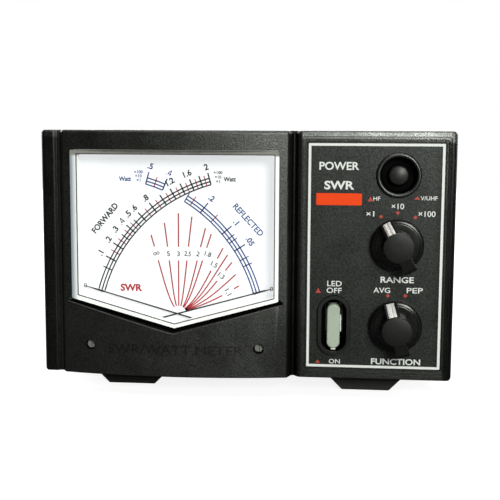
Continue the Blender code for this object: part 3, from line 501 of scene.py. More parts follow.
def clear_sheet(tint):
    """Thin clear plastic: it passes light straight through and reflects by its angle, with faint
    smears that dull the reflection."""
    material, tree, shader = shader_tree()
    tree.nodes.remove(shader)
    through = node(tree, "BsdfTransparent", 0, {"Color": (*tint, 1)})
    smear = mapped(tree, noise(tree, 14, 4), 0.03, 0.12)
    mirror = node(tree, "BsdfGlossy", 0, {"Roughness": smear})
    fresnel = node(tree, "Fresnel", "Fac", {"IOR": 1.49})
    back = node(tree, "NewGeometry", "Backfacing")
    outer = product(tree, fresnel, mapped(tree, back, 1, 0, 0, 1))
    both = node(tree, "MixShader", 0, {0: outer, 1: through, 2: mirror})
    feed(tree, tree.nodes["Material Output"], {"Surface": both})
    return material


def rim_plastic_painted_light():
    """The clear cover's rim: pale at the sides with a painted glow, and with painted reflections of the dark
    moulding: grey along the top, and bluish grey along the far left."""
    material, tree, shader = shader_tree()
    place = place_in(tree)
    top = FRAME_PLACE.z + (OPENING_TOP - 2.6) * MM
    # Painted reflections of the dark moulding: grey along the top, bluish grey along the far left
    height = mapped(tree, part(tree, place, "Z"), 0, 1, top, top + 0.8 * MM)
    across = mapped(tree, part(tree, place, "X"), 0, 1, (METER_X - 39) * MM, (METER_X - 37) * MM)
    pale = mixed(tree, across, (0.24, 0.275, 0.31), (0.86, 0.86, 0.86))
    grey = mixed(tree, noise(tree, 3, 3), (0.16, 0.157, 0.140), (0.25, 0.243, 0.22))
    shown = mixed(tree, height, pale, grey)
    rough = mapped(tree, noise(tree, 1.5, 3), 0.15, 0.3)
    # Painted glow: the rim gives off its own colour as light
    painted_glow = {"Base Color": shown, "Emission Color": shown, "Emission Strength": 0.35}
    feed(tree, shader, {**painted_glow, "Roughness": rough})
    return material


MATERIALS = {
    "black_moulding": surface((0.0046, 0.0050, 0.0034), 0.40, grain=0.5, depth=0.09, mottle=0.3,
                              specular=0.72, sparkle=0.34),
    "lettering": surface((0.003,) * 3, 0.4, specular=0.45),
    "rim_moulding": surface((0.006, 0.006, 0.0055), 0.40, specular=0.85),
    "well_moulding": surface((0.004, 0.004, 0.0038), 0.34, specular=0.6),
    "label_plate": surface((0.0072, 0.0088, 0.0078), 0.42, grain=0.75, depth=0.05, mottle=0.55,
                           specular=0.48, sparkle=0.2),
    "white_ink": surface((0.72, 0.73, 0.72), 0.5, grain=0.25, depth=0.004, mottle=0.04),
    "red_ink": surface((0.50, 0.050, 0.030), 0.5, grain=0.25, depth=0.004, mottle=0.1),
    "orange_ink": surface((0.80, 0.05, 0.001), 0.5, grain=0.25, depth=0.004, mottle=0.06, specular=0.2),
    "dial_card": surface((0.5, 0.505, 0.51), 0.6, grain=0.2, depth=0.003, mottle=0.02),
    "dial_black": surface((0.012, 0.012, 0.016), 0.6, grain=0.2, depth=0.002, mottle=0.3),
    "dial_red": surface((0.55, 0.035, 0.045), 0.6, grain=0.2, depth=0.002, mottle=0.15),
    "dial_blue": surface((0.03, 0.07, 0.30), 0.6, grain=0.2, depth=0.002, mottle=0.15),
    "needle_black": surface((0.01,) * 3, 0.4, grain=0.2, depth=0.002),
    "clear_plastic": clear_sheet((0.985, 0.99, 0.995)),
    "clear_wall": surface((0.66, 0.71, 0.75), 0.3, grain=0.8, depth=0.004, mottle=0.08),
    "rim_edge_shade": surface((0.03,) * 3, 0.3, depth=0.002),
    "rim_plastic_painted_light": rim_plastic_painted_light(),
    "white_moulding": surface((0.82, 0.82, 0.8), 0.45, grain=0.5, mottle=0.05),
    "gloss_black": surface((0.0034, 0.0034, 0.0032), 0.26, grain=0.9, depth=0.004, specular=0.32),
    "grip_top": surface((0.007, 0.007, 0.006), 0.48, grain=0.35, depth=0.012, mottle=0.25, specular=0.3),
    "bright_insert": surface((0.85, 0.84, 0.81), 0.32, 0.5, grain=0.5, depth=0.003, mottle=0.08),
    "button_black": surface((0.009,) * 3, 0.5, grain=0.5, depth=0.02),
    "button_grey": surface((0.40, 0.455, 0.375), 0.38, grain=0.5, depth=0.006, mottle=0.06),
    "rib_painted_highlight": surface((0.8, 0.82, 0.8), 0.4, grain=0.5, depth=0.004, mottle=0.04),
    "screw_plastic": surface((0.20, 0.20, 0.19), 0.4, depth=0.008, mottle=0.12),
    "switch_plastic": surface((0.8, 0.76, 0.64), 0.5, grain=0.4, mottle=0.06),
    "painted_case": surface((0.014,) * 3, 0.62, grain=0.6, depth=0.06, mottle=0.3,
                            uneven=0.02, specular=0.25, sparkle=0.35),
    "foot_rubber": surface((0.006, 0.006, 0.0045), 0.6, grain=0.4, depth=0.03, mottle=0.3),
    "plated_steel": surface((0.6, 0.6, 0.58), 0.34, 1.0, depth=0.008, mottle=0.15),
    "nickel": surface((0.74, 0.73, 0.7), 0.25, 1.0, depth=0.005, mottle=0.1),
    "brass": surface((0.7, 0.5, 0.24), 0.32, 1.0, depth=0.008, mottle=0.12),
    "copper": surface((0.7, 0.33, 0.18), 0.36, 1.0, grain=0.12, depth=0.03, mottle=0.2, stretch=(1, 8, 1)),
    "insulator": surface((0.85, 0.84, 0.8), 0.38, grain=0.5, depth=0.006, mottle=0.04),
    "jack_black": surface((0.012,) * 3, 0.35, grain=0.4),
    "circuit_board": surface((0.02, 0.16, 0.06), 0.4, grain=0.9, mottle=0.35),
    "screw_steel": surface((0.05,) * 3, 0.35, 0.8),
}
for finish_name, finish in MATERIALS.items():
    finish.name = finish_name

# Colour and strength of a painted glow that lifts a finish with emitted light: it keeps the dial card evenly
# white without shade, and brightens some inks and the grey button
PAINTED_GLOWS = {
    "dial_card": ((0.98, 0.985, 0.99), 0.69),
    "white_ink": ((1.0, 1.0, 1.0), 0.10),
    "orange_ink": ((1.0, 0.09, 0.01), 0.12),
    "button_grey": ((0.8, 0.9, 0.78), 0.06),
}
for finish_name, (glow, strength) in PAINTED_GLOWS.items():
    tree = MATERIALS[finish_name].node_tree
    lift = {"Emission Color": (*glow, 1), "Emission Strength": strength}
    feed(tree, tree.nodes["Principled BSDF"], lift)

LEFT_EDGE, RIGHT_EDGE = METER_X - OPENING_HALF, METER_X + OPENING_HALF
# Share of sheen left where the painted shade is deepest, nearly black
SHADED = 0.03
# Painted shade in the walls and the depth of the window opening
paint_shade_and_highlight((LEFT_EDGE - 3, -7, 14), (RIGHT_EDGE + 3, 20, OPENING_TOP + 0.5), SHADED, 0.3)
paint_shade_and_highlight((LEFT_EDGE - 0.5, -1.9, 14), (RIGHT_EDGE + 2.2, 20, OPENING_TOP + 0.5), SHADED)
# Painted shade in the gap round the label plate and in the groove between the halves
paint_shade_and_highlight((PLATE_LOW.x - 2, 0.9, 0.8), (PLATE_HIGH.x + 2, 12, BODY_HEIGHT - 0.8), SHADED)
paint_shade_and_highlight((RIGHT_EDGE + 2, 0.9, -3), (PLATE_LOW.x - 2, 12, BODY_HEIGHT + 3), 0.25)
# Painted shade: darker towards the lower right of the meter panel, on the left margin and on the right rim
paint_shade_and_highlight((LEFT_EDGE + 76, -9, -9), (RIGHT_EDGE + 9, 12, OPENING_SHOULDER - 6), 0.6, soft=4)
paint_shade_and_highlight((-BODY_HALF - 3, -9, -3), (LEFT_EDGE - 4.7, 3, BODY_HEIGHT - 2), 0.36, soft=0.5)
paint_shade_and_highlight((PLATE_HIGH.x + 0.5, -3, -3), (BODY_HALF + 3, 12, BODY_HEIGHT - 3.5), 0.22, soft=0.5)
# Painted highlight: brighter sheen along the top of the control half
paint_shade_and_highlight((RIGHT_EDGE + 8, -3, BODY_HEIGHT - 2.6), (BODY_HALF - 2, 12, BODY_HEIGHT), 1.9, soft=0.3)
# Painted shade towards the label plate's right side, and in the depth of the collar cups
plate_side_shade = (PLATE_HIGH.x - 1.5, -2, -5), (PLATE_HIGH.x + 9, 5, 99)
paint_shade_and_highlight(*plate_side_shade, 0.45, soft=2.5, finish="label_plate")
for finish_name in ("rim_moulding", "well_moulding"):
    collar_cup_shade = (LED[0] - 9, COLLAR_FRONT + 0.8, 0), (SENSOR[0] + 12, 9, 99)
    paint_shade_and_highlight(*collar_cup_shade, SHADED, finish=finish_name)

# Finishes of the CAD nodes that stay in the model, by a part of their names
CAD_FINISH = {
    "chassis": "painted_case",
    "dc_jack": "jack_black",
    "_board": "circuit_board",
    "meter_case": "white_moulding",
    "_coupler": "plated_steel",
    "_needle": "needle_black",
    "_coil": "copper",
    "_magnet": "plated_steel",
    "_bridge": "brass",
    "_zero_lever": "brass",
    "_zero_screw": "screw_plastic",
    "_switch": "switch_plastic",
    "_shaft": "nickel",
    "_nut": "plated_steel",
    "_insulator": "insulator",
    "_contact": "brass",
    "side_screw": "screw_steel",
}


def finish_cad_nodes():
    for name, obj in frame["nodes"].items():
        for key, finish in CAD_FINISH.items():
            if key in name:
                obj.data.materials.clear()
                obj.data.materials.append(MATERIALS[finish])


def piece(name, obj, finish, body="housing", stands_for=None, slot=None, smooth=35):
    """Carries a working object to its place, and makes it a finished piece of the model."""
    mesh = obj.data
    mesh.transform(TO_WORLD)
    mesh.materials.clear()
    mesh.materials.append(MATERIALS[finish])
    mesh.shade_smooth()
    mesh.set_sharp_from_angle(angle=math.radians(smooth))
    obj.name = name
    mesh.name = name
    obj.modifiers.new("even shading", "WEIGHTED_NORMAL").keep_sharp = True
    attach(obj, body)
    if stands_for:
        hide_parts(stands_for)
    return obj


# ---------------------------------------------------------------- printing


class Print:
    """Flat ink on a plane that faces the front, gathered into one thin mesh."""

    def __init__(self, plane, thickness=INK):
        self.bm = bmesh.new()
        self.front = plane - thickness
        self.thickness = thickness

    def verts(self, points):
        return [self.bm.verts.new((x, self.front, z)) for x, z in points]

    def raise_faces(self, outlines):
        faces = [self.bm.faces.new(corners) for corners in outlines]
        made = bmesh.ops.extrude_face_region(self.bm, geom=faces)
        points = [item for item in made["geom"] if isinstance(item, bmesh.types.BMVert)]
        bmesh.ops.translate(self.bm, vec=(0, self.thickness, 0), verts=points)

    def stroke(self, points, width):
        """A line of even width through (x, z) points."""
        sides = []
        for i, (x, z) in enumerate(points):
            before = Vector(points[max(i - 1, 0)])
            after = Vector(points[min(i + 1, len(points) - 1)])
            across = (after - before).normalized().orthogonal() * (width / 2)
            pair = [(x + across.x, z + across.y), (x - across.x, z - across.y)]
            sides.append(self.verts(pair))
        self.raise_faces([(a[0], a[1], b[1], b[0]) for a, b in zip(sides, sides[1:])])

    def patch(self, points):
        self.raise_faces([self.verts(points)])

    def frame(self, outer, inner):
        """A closed band between two outlines of equally many points."""
        outside, inside = self.verts(outer), self.verts(inner)
        self.raise_faces(zip(outside, outside[1:] + outside[:1], inside[1:] + inside[:1], inside))

    def words(self, text, centre, height, width=None, turn=0.0, weight=0.0, spacing=1.0):
        """Lettering of a given height about its centre. With a width, it is fitted to that too."""
        mesh = letters(text, weight, spacing)
        spans = list(zip(*(vert.co for vert in mesh.vertices)))
        low, high = Vector([min(span) for span in spans]), Vector([max(span) for span in spans])
        tall = height / (high.y - low.y)
        wide = width / (high.x - low.x) if width else tall
        middle = Matrix.Translation(-(low + high) / 2)
        size = Matrix.Diagonal((wide, tall, self.thickness / (high.z - low.z), 1))
        spun = Matrix.Rotation(math.radians(turn), 4, "Z")
        where = Matrix.Translation((centre[0], self.front + self.thickness / 2, centre[1]))
        mesh.transform(where @ UPRIGHT @ spun @ size @ middle)
        self.bm.from_mesh(mesh)
        bpy.data.meshes.remove(mesh)

    def done(self, name, finish, body="housing", slot=None):
        bmesh.ops.recalc_face_normals(self.bm, faces=self.bm.faces)
        mesh = bpy.data.meshes.new(name)
        self.bm.to_mesh(mesh)
        self.bm.free()
        return piece(name, linked(name, mesh), finish, body, slot=slot)


def letters(text, weight, spacing=1.0):
    """A mesh of plain lettering about a unit high, thickened, in its own XY plane."""
    font = bpy.data.curves.new("work", "FONT")
    font.body = text
    font.offset = weight
    font.extrude = 0.05
    font.resolution_u = 4
    font.space_character = spacing
    mesh = meshed(font)
    bm = bmesh.new()
    bm.from_mesh(mesh)
    bmesh.ops.remove_doubles(bm, verts=bm.verts, dist=0.0001)
    bm.to_mesh(mesh)
    bm.free()
    return mesh


# ---------------------------------------------------------------- front moulding


def bezel_outline():
    """The front moulding seen from above: side edges, grooves and the bowed meter panel."""
    left = METER_X - PANEL_HALF
    right = METER_X + PANEL_HALF
    bow_steps = 56
    inner = [left + (right - left) * i / bow_steps for i in range(2, bow_steps - 1)]
    corners = [(-HALF, BEZEL_DEPTH, 0), (-HALF, 0, 2)]
    corners += [(left - 3.6, -0.1, 1.4), (left - 2.6, SIDE_GROOVE_DEPTH, 0.5)]
    corners += [(left - 1.3, SIDE_GROOVE_DEPTH, 0.5), (left, -PANEL_STEP, 1.6)]
    corners += [(x, bow_y(x), 0) for x in inner]
    corners += [(right + 0.4, -PANEL_STEP, 1.3), (right + 1.9, GROOVE_DEPTH, 0.6)]
    corners += [(right + 2.8, GROOVE_DEPTH, 0.6), (right + 4.3, 0, 2.2)]
    corners += [(HALF, 0, 2.3), (HALF, BEZEL_DEPTH, 0)]
    return fillet(corners, 7)


def window_flare():
    """The prism that lowers the front of the opening's V by a step, a little more towards the front."""
    slope = math.atan2(OPENING_SHOULDER - OPENING_TIP, OPENING_HALF)
    reach = OPENING_HALF + 2.1
    end = OPENING_TIP + reach * math.tan(slope)
    corners = [(-reach, end), (0, OPENING_TIP), (reach, end), (39, end + 2.5), (-39, end + 2.5)]
    back, front = -0.3, -15
    wedge = front_plate([[(METER_X + x, z) for x, z in corners]], front, back)
    for vert in wedge.data.vertices:
        vert.co.z -= V_STEP + FLARE * (back - vert.co.y)
    return wedge


def on_step(edge):
    """Whether this is the front edge of the step under the V, where its floor meets the face."""
    middle = (edge.verts[0].co + edge.verts[1].co) / 2
    if len(edge.link_faces) != 2 or abs(middle.x - METER_X) > PANEL_HALF:
        return False
    floor, face = sorted(edge.link_faces, key=lambda side: -side.normal.z)
    low_enough = OPENING_TIP - 4 < middle.z < OPENING_SHOULDER + 1
    return low_enough and floor.normal.z > 0.8 and face.normal.y < -0.8


def on_front_rim(edge, height):
    """Whether this edge runs along the moulding's front at the given height."""
    ends = [vert.co for vert in edge.verts]
    level = all(abs(end.z - height) < 0.01 for end in ends)
    return level and min(end.y for end in ends) < BEZEL_DEPTH - 0.1


def control_recess():
    """Cutters for the label plate's recess, the ledge round it and the ring line on the face."""
    edges = (PLATE_LOW.x, PLATE_HIGH.x, PLATE_LOW.z, PLATE_HIGH.z)

    def around(left, right, below, above, radius):
        reach = (-left, right, -below, above)
        return rectangle(*(edge + more for edge, more in zip(edges, reach)), radius)

    gap = RECESS_GAP
    recess = front_plate([around(gap, gap, gap, gap, 0.8)], -15, RECESS_DEPTH)
    ledge = front_plate([around(gap + 0.8, gap + 0.7, gap + 0.7, gap + 0.7, 1.0)], -15, 0.5)
    rings = [around(reach, reach, reach, reach, 1.2) for reach in (gap + 1.45, gap + 1.8)]
    return recess, ledge, front_plate(rings, -0.5, 0.45)


def front_bezel():
    bezel = floor_plate([bezel_outline()], FLOOR, CEILING)
    rounded(bezel, lambda edge: on_front_rim(edge, CEILING), 1.2, 6)
    rounded(bezel, lambda edge: on_front_rim(edge, FLOOR), 0.4, 3)
    silhouette = rectangle(-HALF - 0.01, HALF + 0.01, FLOOR - 0.01, CEILING + 0.01, 1.8)
    combine("INTERSECT", bezel, [front_plate([silhouette], -20, 20)])
    slope = [(-3, CEILING - 2.8), (0, CEILING - 2.8), (0.45, CEILING), (0.45, 99), (-3, 99)]
    cut(bezel, side_plate([slope], METER_X + PANEL_HALF + 5.2, 80))
    window = front_plate([window_outline(0, 0.6)], -15, 20)
    meter_room = block((METER_X - 42, WALL, WALL), (METER_X + 41.5, 20, BODY_HEIGHT - WALL))
    control_room = block((20.5, 3.5, WALL), (75, 20, BODY_HEIGHT - WALL))
    cut(bezel, window, window_flare(), *control_recess(), meter_room, control_room)
    rounded(bezel, on_step, 0.34, 3)
    holes = [rod(SCREW_HOLE, centre, -15, 20, 48) for centre in SCREWS]
    holes += [rod(BUSHING_HOLE, centre, -2, 7) for centre in KNOBS.values()]
    holes += [rod(SENSOR_COLLAR - 0.4, SENSOR, -3, 9)]
    holes += [front_plate([stadium(LED, LED_COLLAR[0] - 0.4, LED_COLLAR[1] - 0.4)], -3, 9)]
    cut(bezel, *holes)
    bevelled(bezel, 0.28, 3, 40)
    piece("bezel_moulding", bezel, "black_moulding", stands_for="front_bezel")


def collars():
    """Raised rims round the two push buttons, each with a cup that guides its button."""
    cup = lip(SENSOR_COLLAR, COLLAR_FRONT, 1.5)
    cup += [(SENSOR_COLLAR - 1.6, CUP_FLOOR - 0.6), (SENSOR_COLLAR - 2.2, CUP_FLOOR)]
    cup += [(4.15, CUP_FLOOR), (4.0, CUP_FLOOR + 0.15), (4.0, 6.0), (SENSOR_COLLAR, 6.0)]
    piece("sensor_collar", turned(cup, SENSOR, 128), "rim_moulding", slot="black_moulding")
    half_width, half_height = LED_COLLAR
    collar = front_plate([stadium(LED, half_width, half_height, 40)], COLLAR_FRONT, 6.0)
    cut(collar, front_plate([stadium(LED, half_width - 1.3, half_height - 1.3, 40)], -3, CUP_FLOOR))
    cut(collar, front_plate([stadium(LED, 3.3, 9.9, 32)], 0, 9))
    bevelled(collar, 0.45, 4, 50)
    piece("led_collar", collar, "well_moulding", slot="black_moulding")


def embossed_words():
    """The instrument's kind in raised letters that follow the bow of the panel."""
    emboss = Print(0.12, 0.36)
    emboss.words("SWR/WATT METER", (METER_X + 0.8, 10.2), 3.6, 51.5)
    for vert in emboss.bm.verts:
        vert.co.y += bow_y(vert.co.x)
    emboss.done("panel_lettering", "lettering", slot="black_moulding")


def control_plate():
    """The printed label plate, laid in the recess round the collars."""
    outline = rectangle(PLATE_LOW.x, PLATE_HIGH.x, PLATE_LOW.z, PLATE_HIGH.z, 0.7)
    holes = [circle(SENSOR, SENSOR_COLLAR + RECESS_GAP, 96)]
    holes += [stadium(LED, *(half + RECESS_GAP for half in LED_COLLAR), 32)]
    holes += [circle(centre, BUSHING_HOLE) for centre in KNOBS.values()]
    plate = front_plate([outline, *holes], PLATE_LOW.y, PLATE_HIGH.y)
    piece("label_plate", bevelled(plate, 0.08, 2), "label_plate", stands_for="control_plate")


# Words of the control panel: centre, height, width and thickening
PANEL_WORDS = (
    ("POWER", (34.9, 79.7), 3.0, 14.6, 0.02),
    ("SWR", (35.0, 72.6), 3.2, 11.0, 0.028),
    ("HF", (48.9, 67.8), 1.5, 2.5, 0.01),
    ("V/UHF", (67.9, 68.1), 1.5, 6.2, 0.01),
    ("×1", (46.6, 62.1), 2.0, 2.9, 0.01),
    ("×10", (56.6, 65.0), 2.1, 4.6, 0.01),
    ("×100", (67.3, 62.3), 2.1, 6.2, 0.01),
    ("RANGE", (57.0, 37.6), 2.3, 12.3, 0.022),
    ("AVG", (51.4, 33.6), 2.0, 6.2, 0.01),
    ("PEP", (63.6, 33.7), 2.0, 6.0, 0.01),
    ("FUNCTION", (57.1, 6.5), 2.3, 18.3, 0.022),
    ("LED", (33.8, 35.8), 2.0, 5.4, 0.01),
    ("OFF", (33.7, 33.2), 2.0, 5.6, 0.01),
    ("ON", (34.2, 6.1), 1.7, 4.2, 0.01),
)
# Centre, half width and height of each triangular mark, then the centres of the square ones
TRIANGLES = ((46.6, 67.7, 0.95, 1.9), (27.8, 33.1, 1.0, 1.9), (27.9, 6.0, 1.0, 1.2), (63.65, 68.2, 1.15, 1.2))
DIAMONDS = ((50.5, 61.1), (56.7, 62.6), (63.1, 61.0), (53.7, 31.6), (60.1, 31.7))


def panel_print():
    """Border, words and position marks of the control panel."""
    white, red, orange = (Print(PLATE_LOW.y) for _ in range(3))
    borders = []
    for inset, radius in ((0.55, 0.3), (1.5, 0.15)):
        sides = (PLATE_LOW.x + inset, PLATE_HIGH.x - inset, PLATE_LOW.z + inset, PLATE_HIGH.z - inset)
        borders.append(rectangle(*sides, radius))
    white.frame(*borders)
    for text, centre, height, width, weight in PANEL_WORDS:
        white.words(text, centre, height, width, weight=weight)
    white.done("panel_white_print", "white_ink", slot="label_plate")
    for x, z, half, height in TRIANGLES:
        red.patch([(x - half, z - height / 2), (x + half, z - height / 2), (x, z + height / 2)])
    for centre in DIAMONDS:
        red.patch(circle(centre, 0.78, 4))
    red.done("panel_red_print", "red_ink", slot="label_plate")
    orange.patch(rectangle(26.6, 43.4, 65.2, 69.6, 0.25))
    orange.done("panel_orange_print", "orange_ink", slot="label_plate")


# ---------------------------------------------------------------- meter window and dial


def wider_left(outline):
    """An outline of the window whose left side stands further in, where the cover's wall shows."""
    return [(x + 0.8 if x < METER_X - 36 else x, z) for x, z in outline]


def meter_window():
    """The clear cover: a thin pane inside a raised rim, and the walls behind it."""
    front = WINDOW_FRONT
    pane = front_plate([window_outline(1.4, 0.4)], front + 0.5, front + 1.2)
    piece("window_pane", bevelled(pane, 0.05, 1), "clear_plastic", stands_for="meter_window")
    rim = front_plate([window_outline(0.15, 0.5), wider_left(window_outline(1.5, 0.4))], front, 4.0)
    piece("window_rim", bevelled(rim, 0.25), "rim_plastic_painted_light", slot="clear_plastic")
    # The thin dark band inside the rim is painted shade, standing in for the dark line that the clear rim's
    # inner edge shows
    rings = [wider_left(window_outline(inset, 0.4)) for inset in (1.52, 1.86)]
    line = front_plate(rings, front + 0.2, front + 0.48)
    piece("window_rim_line", line, "rim_edge_shade", slot="clear_plastic")
    low, high = extent("meter_window")
    outer = rectangle(low.x, high.x, low.z, high.z, 0.8)
    inner = rectangle(low.x + 1.3, high.x - 1.3, low.z + 1.3, high.z - 1.3, 0.4)
    walls = front_plate([outer, inner], 4.1, high.y)
    piece("window_walls", walls, "clear_wall", slot="clear_plastic")


def dial_point(side, radius, deflection):
    """(x, z) at a radius from a movement's pivot, with its needle deflected by degrees."""
    x, z = PIVOTS["forward" if side > 0 else "reflected"]
    angle = math.radians(ZERO_ANGLE + deflection)
    return (x - side * radius * math.cos(angle), z + radius * math.sin(angle))


def radial(ink, side, deflection, ends, width):
    ink.stroke([dial_point(side, radius, deflection) for radius in ends], width)


def swing(power, full):
    """Deflection in degrees for a power, on a movement that reads full at the end of its scale."""
    return FULL_SWING * (power / full) ** SCALE_LAW


def crossing(forward, reflected):
    """Where the two needles cross, at a pair of deflections in degrees."""
    first, second = PIVOTS["forward"], PIVOTS["reflected"]
    a = math.radians(ZERO_ANGLE + forward)
    b = math.radians(ZERO_ANGLE + reflected)
    gap = first[0] - second[0]
    along = gap * math.sin(a) / math.sin(a + b)
    return (second[0] + along * math.cos(b), second[1] + along * math.sin(b))


# Deflection of the reflected needle for each degree of the forward one
SWR_SHARE = {
    None: 1.72, 5: 1.28, 3: 1.0, 2.5: 0.80, 2: 0.61, 1.8: 0.53, 1.5: 0.37, 1.4: 0.305, 1.3: 0.24,
    1.2: 0.155, 1.1: 0.075,
}


def swr_curve(ratio):
    """The line of crossings for one standing wave ratio, from near zero out to the scales."""
    rest = crossing(0, 0)
    points = []
    for i in range(2, 400):
        forward = FULL_SWING * i / 400
        reflected = SWR_SHARE[ratio] * forward
        point = crossing(forward, reflected)
        if math.dist(point, PIVOTS["reflected"]) > 57.6 or math.dist(point, PIVOTS["forward"]) > 55.6:
            break
        if math.dist(point, rest) > 2.8:
            points.append(point)
    return points


def without_gap(points, middle, half):
    """The parts of a line that stay outside a gap, which leaves room for a label."""
    kept, run = [], []
    for point in points:
        if math.dist(point, middle) > half:
            run.append(point)
        elif run:
            kept.append(run)
            run = []
    kept.append(run)
    return [run[:: max(1, len(run) // 12)] + run[-1:] for run in kept if len(run) > 2]


LABEL_HEIGHTS = {1.5: 41.0, 1.3: 36.7, 1.1: 30.3}
LABEL_SHIFT = {2: -0.3, 1.8: 1.3}
UNLABELLED = (1.4, 1.2)


def swr_lines(red, black):
    for ratio in SWR_SHARE:
        points = swr_curve(ratio)
        if ratio in UNLABELLED:
            runs = without_gap(points, (0, 0), 0)
        else:
            label = f"{ratio:g}" if ratio else "∞"
            middle = min(points, key=lambda p: abs(p[1] - LABEL_HEIGHTS.get(ratio, 45.0)))
            after = points[min(points.index(middle) + 3, len(points) - 1)]
            lean = math.degrees(math.atan2(after[1] - middle[1], after[0] - middle[0])) - 90
            runs = without_gap(points, middle, 2.6)
            where = (middle[0] + LABEL_SHIFT.get(ratio, 0.0), middle[1])
            wide = 2.5 if len(label) == 3 else None
            black.words(label, where, 1.9 if ratio else 1.2, wide, turn=lean, weight=0.016 if ratio else 0)
        for run in runs:
            red.stroke(run, 0.52)


def scale_label(ink, label, where, height, turn):
    """A scale number. The counter of a 4 closes up when thickened, so its strokes are drawn."""
    if label != ".4":
        ink.words(label, where, height, turn=turn, weight=0.03)
        return
    angle = math.radians(turn)

    def at(x, z):
        px, pz = (x - 0.1) * height, (z - 0.5) * height
        return (
            where[0] + px * math.cos(angle) - pz * math.sin(angle),
            where[1] + px * math.sin(angle) + pz * math.cos(angle),
        )

    for start, end in (((0.32, 0), (0.32, 1)), ((0.32, 1), (-0.12, 0.3)), ((-0.14, 0.3), (0.5, 0.3))):
        ink.stroke([at(*start), at(*end)], 0.3)
    ink.stroke([at(-0.34, 0), at(-0.34, 0.16)], 0.34)


def power_scale(ink, side, full, spans, ticks, numbers):
    """One movement's scale: its three arcs over each span of degrees, its ticks, and its numbers
    with their distance from the pivot and their height."""
    for start, end in spans:
        steps = max(4, round(end - start))
        for radius in SCALE_RADII:
            degrees = [start + (end - start) * i / steps for i in range(steps + 1)]
            ink.stroke([dial_point(side, radius, d) for d in degrees], 0.52)
    for colour, outer, width, powers in ticks:
        for power in powers:
            radial(colour, side, swing(power, full), (SCALE_RADII[0], outer), width)
    powers, radius, height = numbers
    for power in powers:
        deflection = swing(power, full)
        aside = 1.1 if power == 1.2 else 0  # clear of the other scale's end
        upright = side * (90 - ZERO_ANGLE - deflection)
        where = dial_point(side, radius, deflection + aside)
        scale_label(ink, f"{power:g}".lstrip("0"), where, height, upright)


def forward_scale(black, red):
    ticks = (
        (black, 65.2, 0.54, (0.1, 0.2, 0.4, 0.6, 0.8, 1.0, 1.2, 1.4, 1.6, 1.8, 2.0)),
        (black, 64.4, 0.44, (0.05, 0.3, 0.5)),
        (red, 64.6, 0.38, (0.15, 0.25, 0.35, 0.45, 0.7, 0.9, 1.1, 1.3, 1.5, 1.7, 1.9)),
    )
    numbers = (0.1, 0.2, 0.3, 0.4, 0.5, 0.6, 0.8, 1.2, 1.6, 2.0), 67.6, 2.4
    power_scale(black, 1, 2.0, [(0, FULL_SWING)], ticks, numbers)


def reflected_scale(blue, red):
    ticks = (
        (blue, 65.4, 0.52, (0.0, 0.05, 0.1, 0.2, 0.4, 0.5)),
        (blue, 64.3, 0.42, (0.02, 0.03, 0.07, 0.08, 0.28)),
        (red, 64.6, 0.38, (0.15, 0.25, 0.45)),
    )
    spans = [(0, swing(0.28, 0.5)), (swing(0.4, 0.5), FULL_SWING)]
    power_scale(blue, -1, 0.5, spans, ticks, ((0.05, 0.1, 0.2, 0.4, 0.5), 67.8, 2.3))


def dial_print():
    black, red, blue = (Print(DIAL_FACE) for _ in range(3))
    forward_scale(black, red)
    reflected_scale(blue, red)
    swr_lines(red, black)
    black.words("FORWARD", (-55.5, 58.5), 2.5, 14.3, turn=50, weight=0.032)
    blue.words("REFLECTED", (0.5, 58.5), 2.4, 15.5, turn=-47, weight=0.022)
    red.words("SWR", (-45.3, 31.4), 2.9, 8.6, weight=0.04)
    units = (
        (blue, (-47.4, 73.8), -42.1, (76.5, 75.0, 73.4)),
        (black, (-6.7, 74.0), -11.2, (76.5, 74.8, 73.1)),
    )
    for ink, centre, column, rows in units:
        ink.words("Watt", centre, 1.8, 4.8, weight=0.036)
        for label, row in zip(("×100", "×10", "×1"), rows):
            ink.words(label, (column, row), 1.25, weight=0.025)
    for x in (-63.6, 9.6):
        black.words("0", (x, 31.9), 1.7, 1.3)
    for ink, name in ((black, "dial_black"), (red, "dial_red"), (blue, "dial_blue")):
        ink.done(f"{name}_print", name, slot="dial_card")


def dial_card():
    low, high = extent("dial_plate")
    outline = [(max(low.x, min(high.x, x)), min(high.z, z)) for x, z in window_outline(-2.6, 0.5)]
    piece("dial_card", front_plate([outline], low.y, high.y), "dial_card", stands_for="dial_plate")


# ---------------------------------------------------------------- controls

SKIRT_RADIUS = 9.7
GRIP_RADIUS = 5.5
GRIP_FRONT = -11.8
BAR_FRONT = GRIP_FRONT + 1.1
BAR_WIDTH = 5.0
TAIL_REACH = 10.2
POINTER_REACH = 9.4
NOSE_FRONT = -3.9


def leaning(side_view, width, centre, lean, offset=0.0):
    """A side view of (reach, y) pairs, reach being towards the pointer, thickened to width, shifted
    across by offset and turned about the knob's axis to lean left of upright."""
    upright = Matrix.Translation((offset, 0, 0)) @ Matrix.Rotation(-math.radians(90), 4, "Y")
    turn = Matrix.Rotation(-math.radians(lean), 4, "Y")
    return moved(extruded([side_view], width), upright, turn, Matrix.Translation((centre[0], 0, centre[1])))


def nose_strip(sunk, proud, short):
    """Side view of a strip lying along the sloping nose, from sunk below it to proud above it."""
    low = Vector((POINTER_REACH, NOSE_FRONT))
    high = Vector((4.6, BAR_FRONT))
    along = (high - low).normalized()
    out = Vector((-along.y, along.x))
    out = out if out.y < 0 else -out
    start = low - along * (proud if short == 0 else -short)
    end = high - along * (0.5 + short)
    corners = [start - out * sunk, start + out * proud, end + out * proud, end - out * sunk]
    return [tuple(corner) for corner in corners]


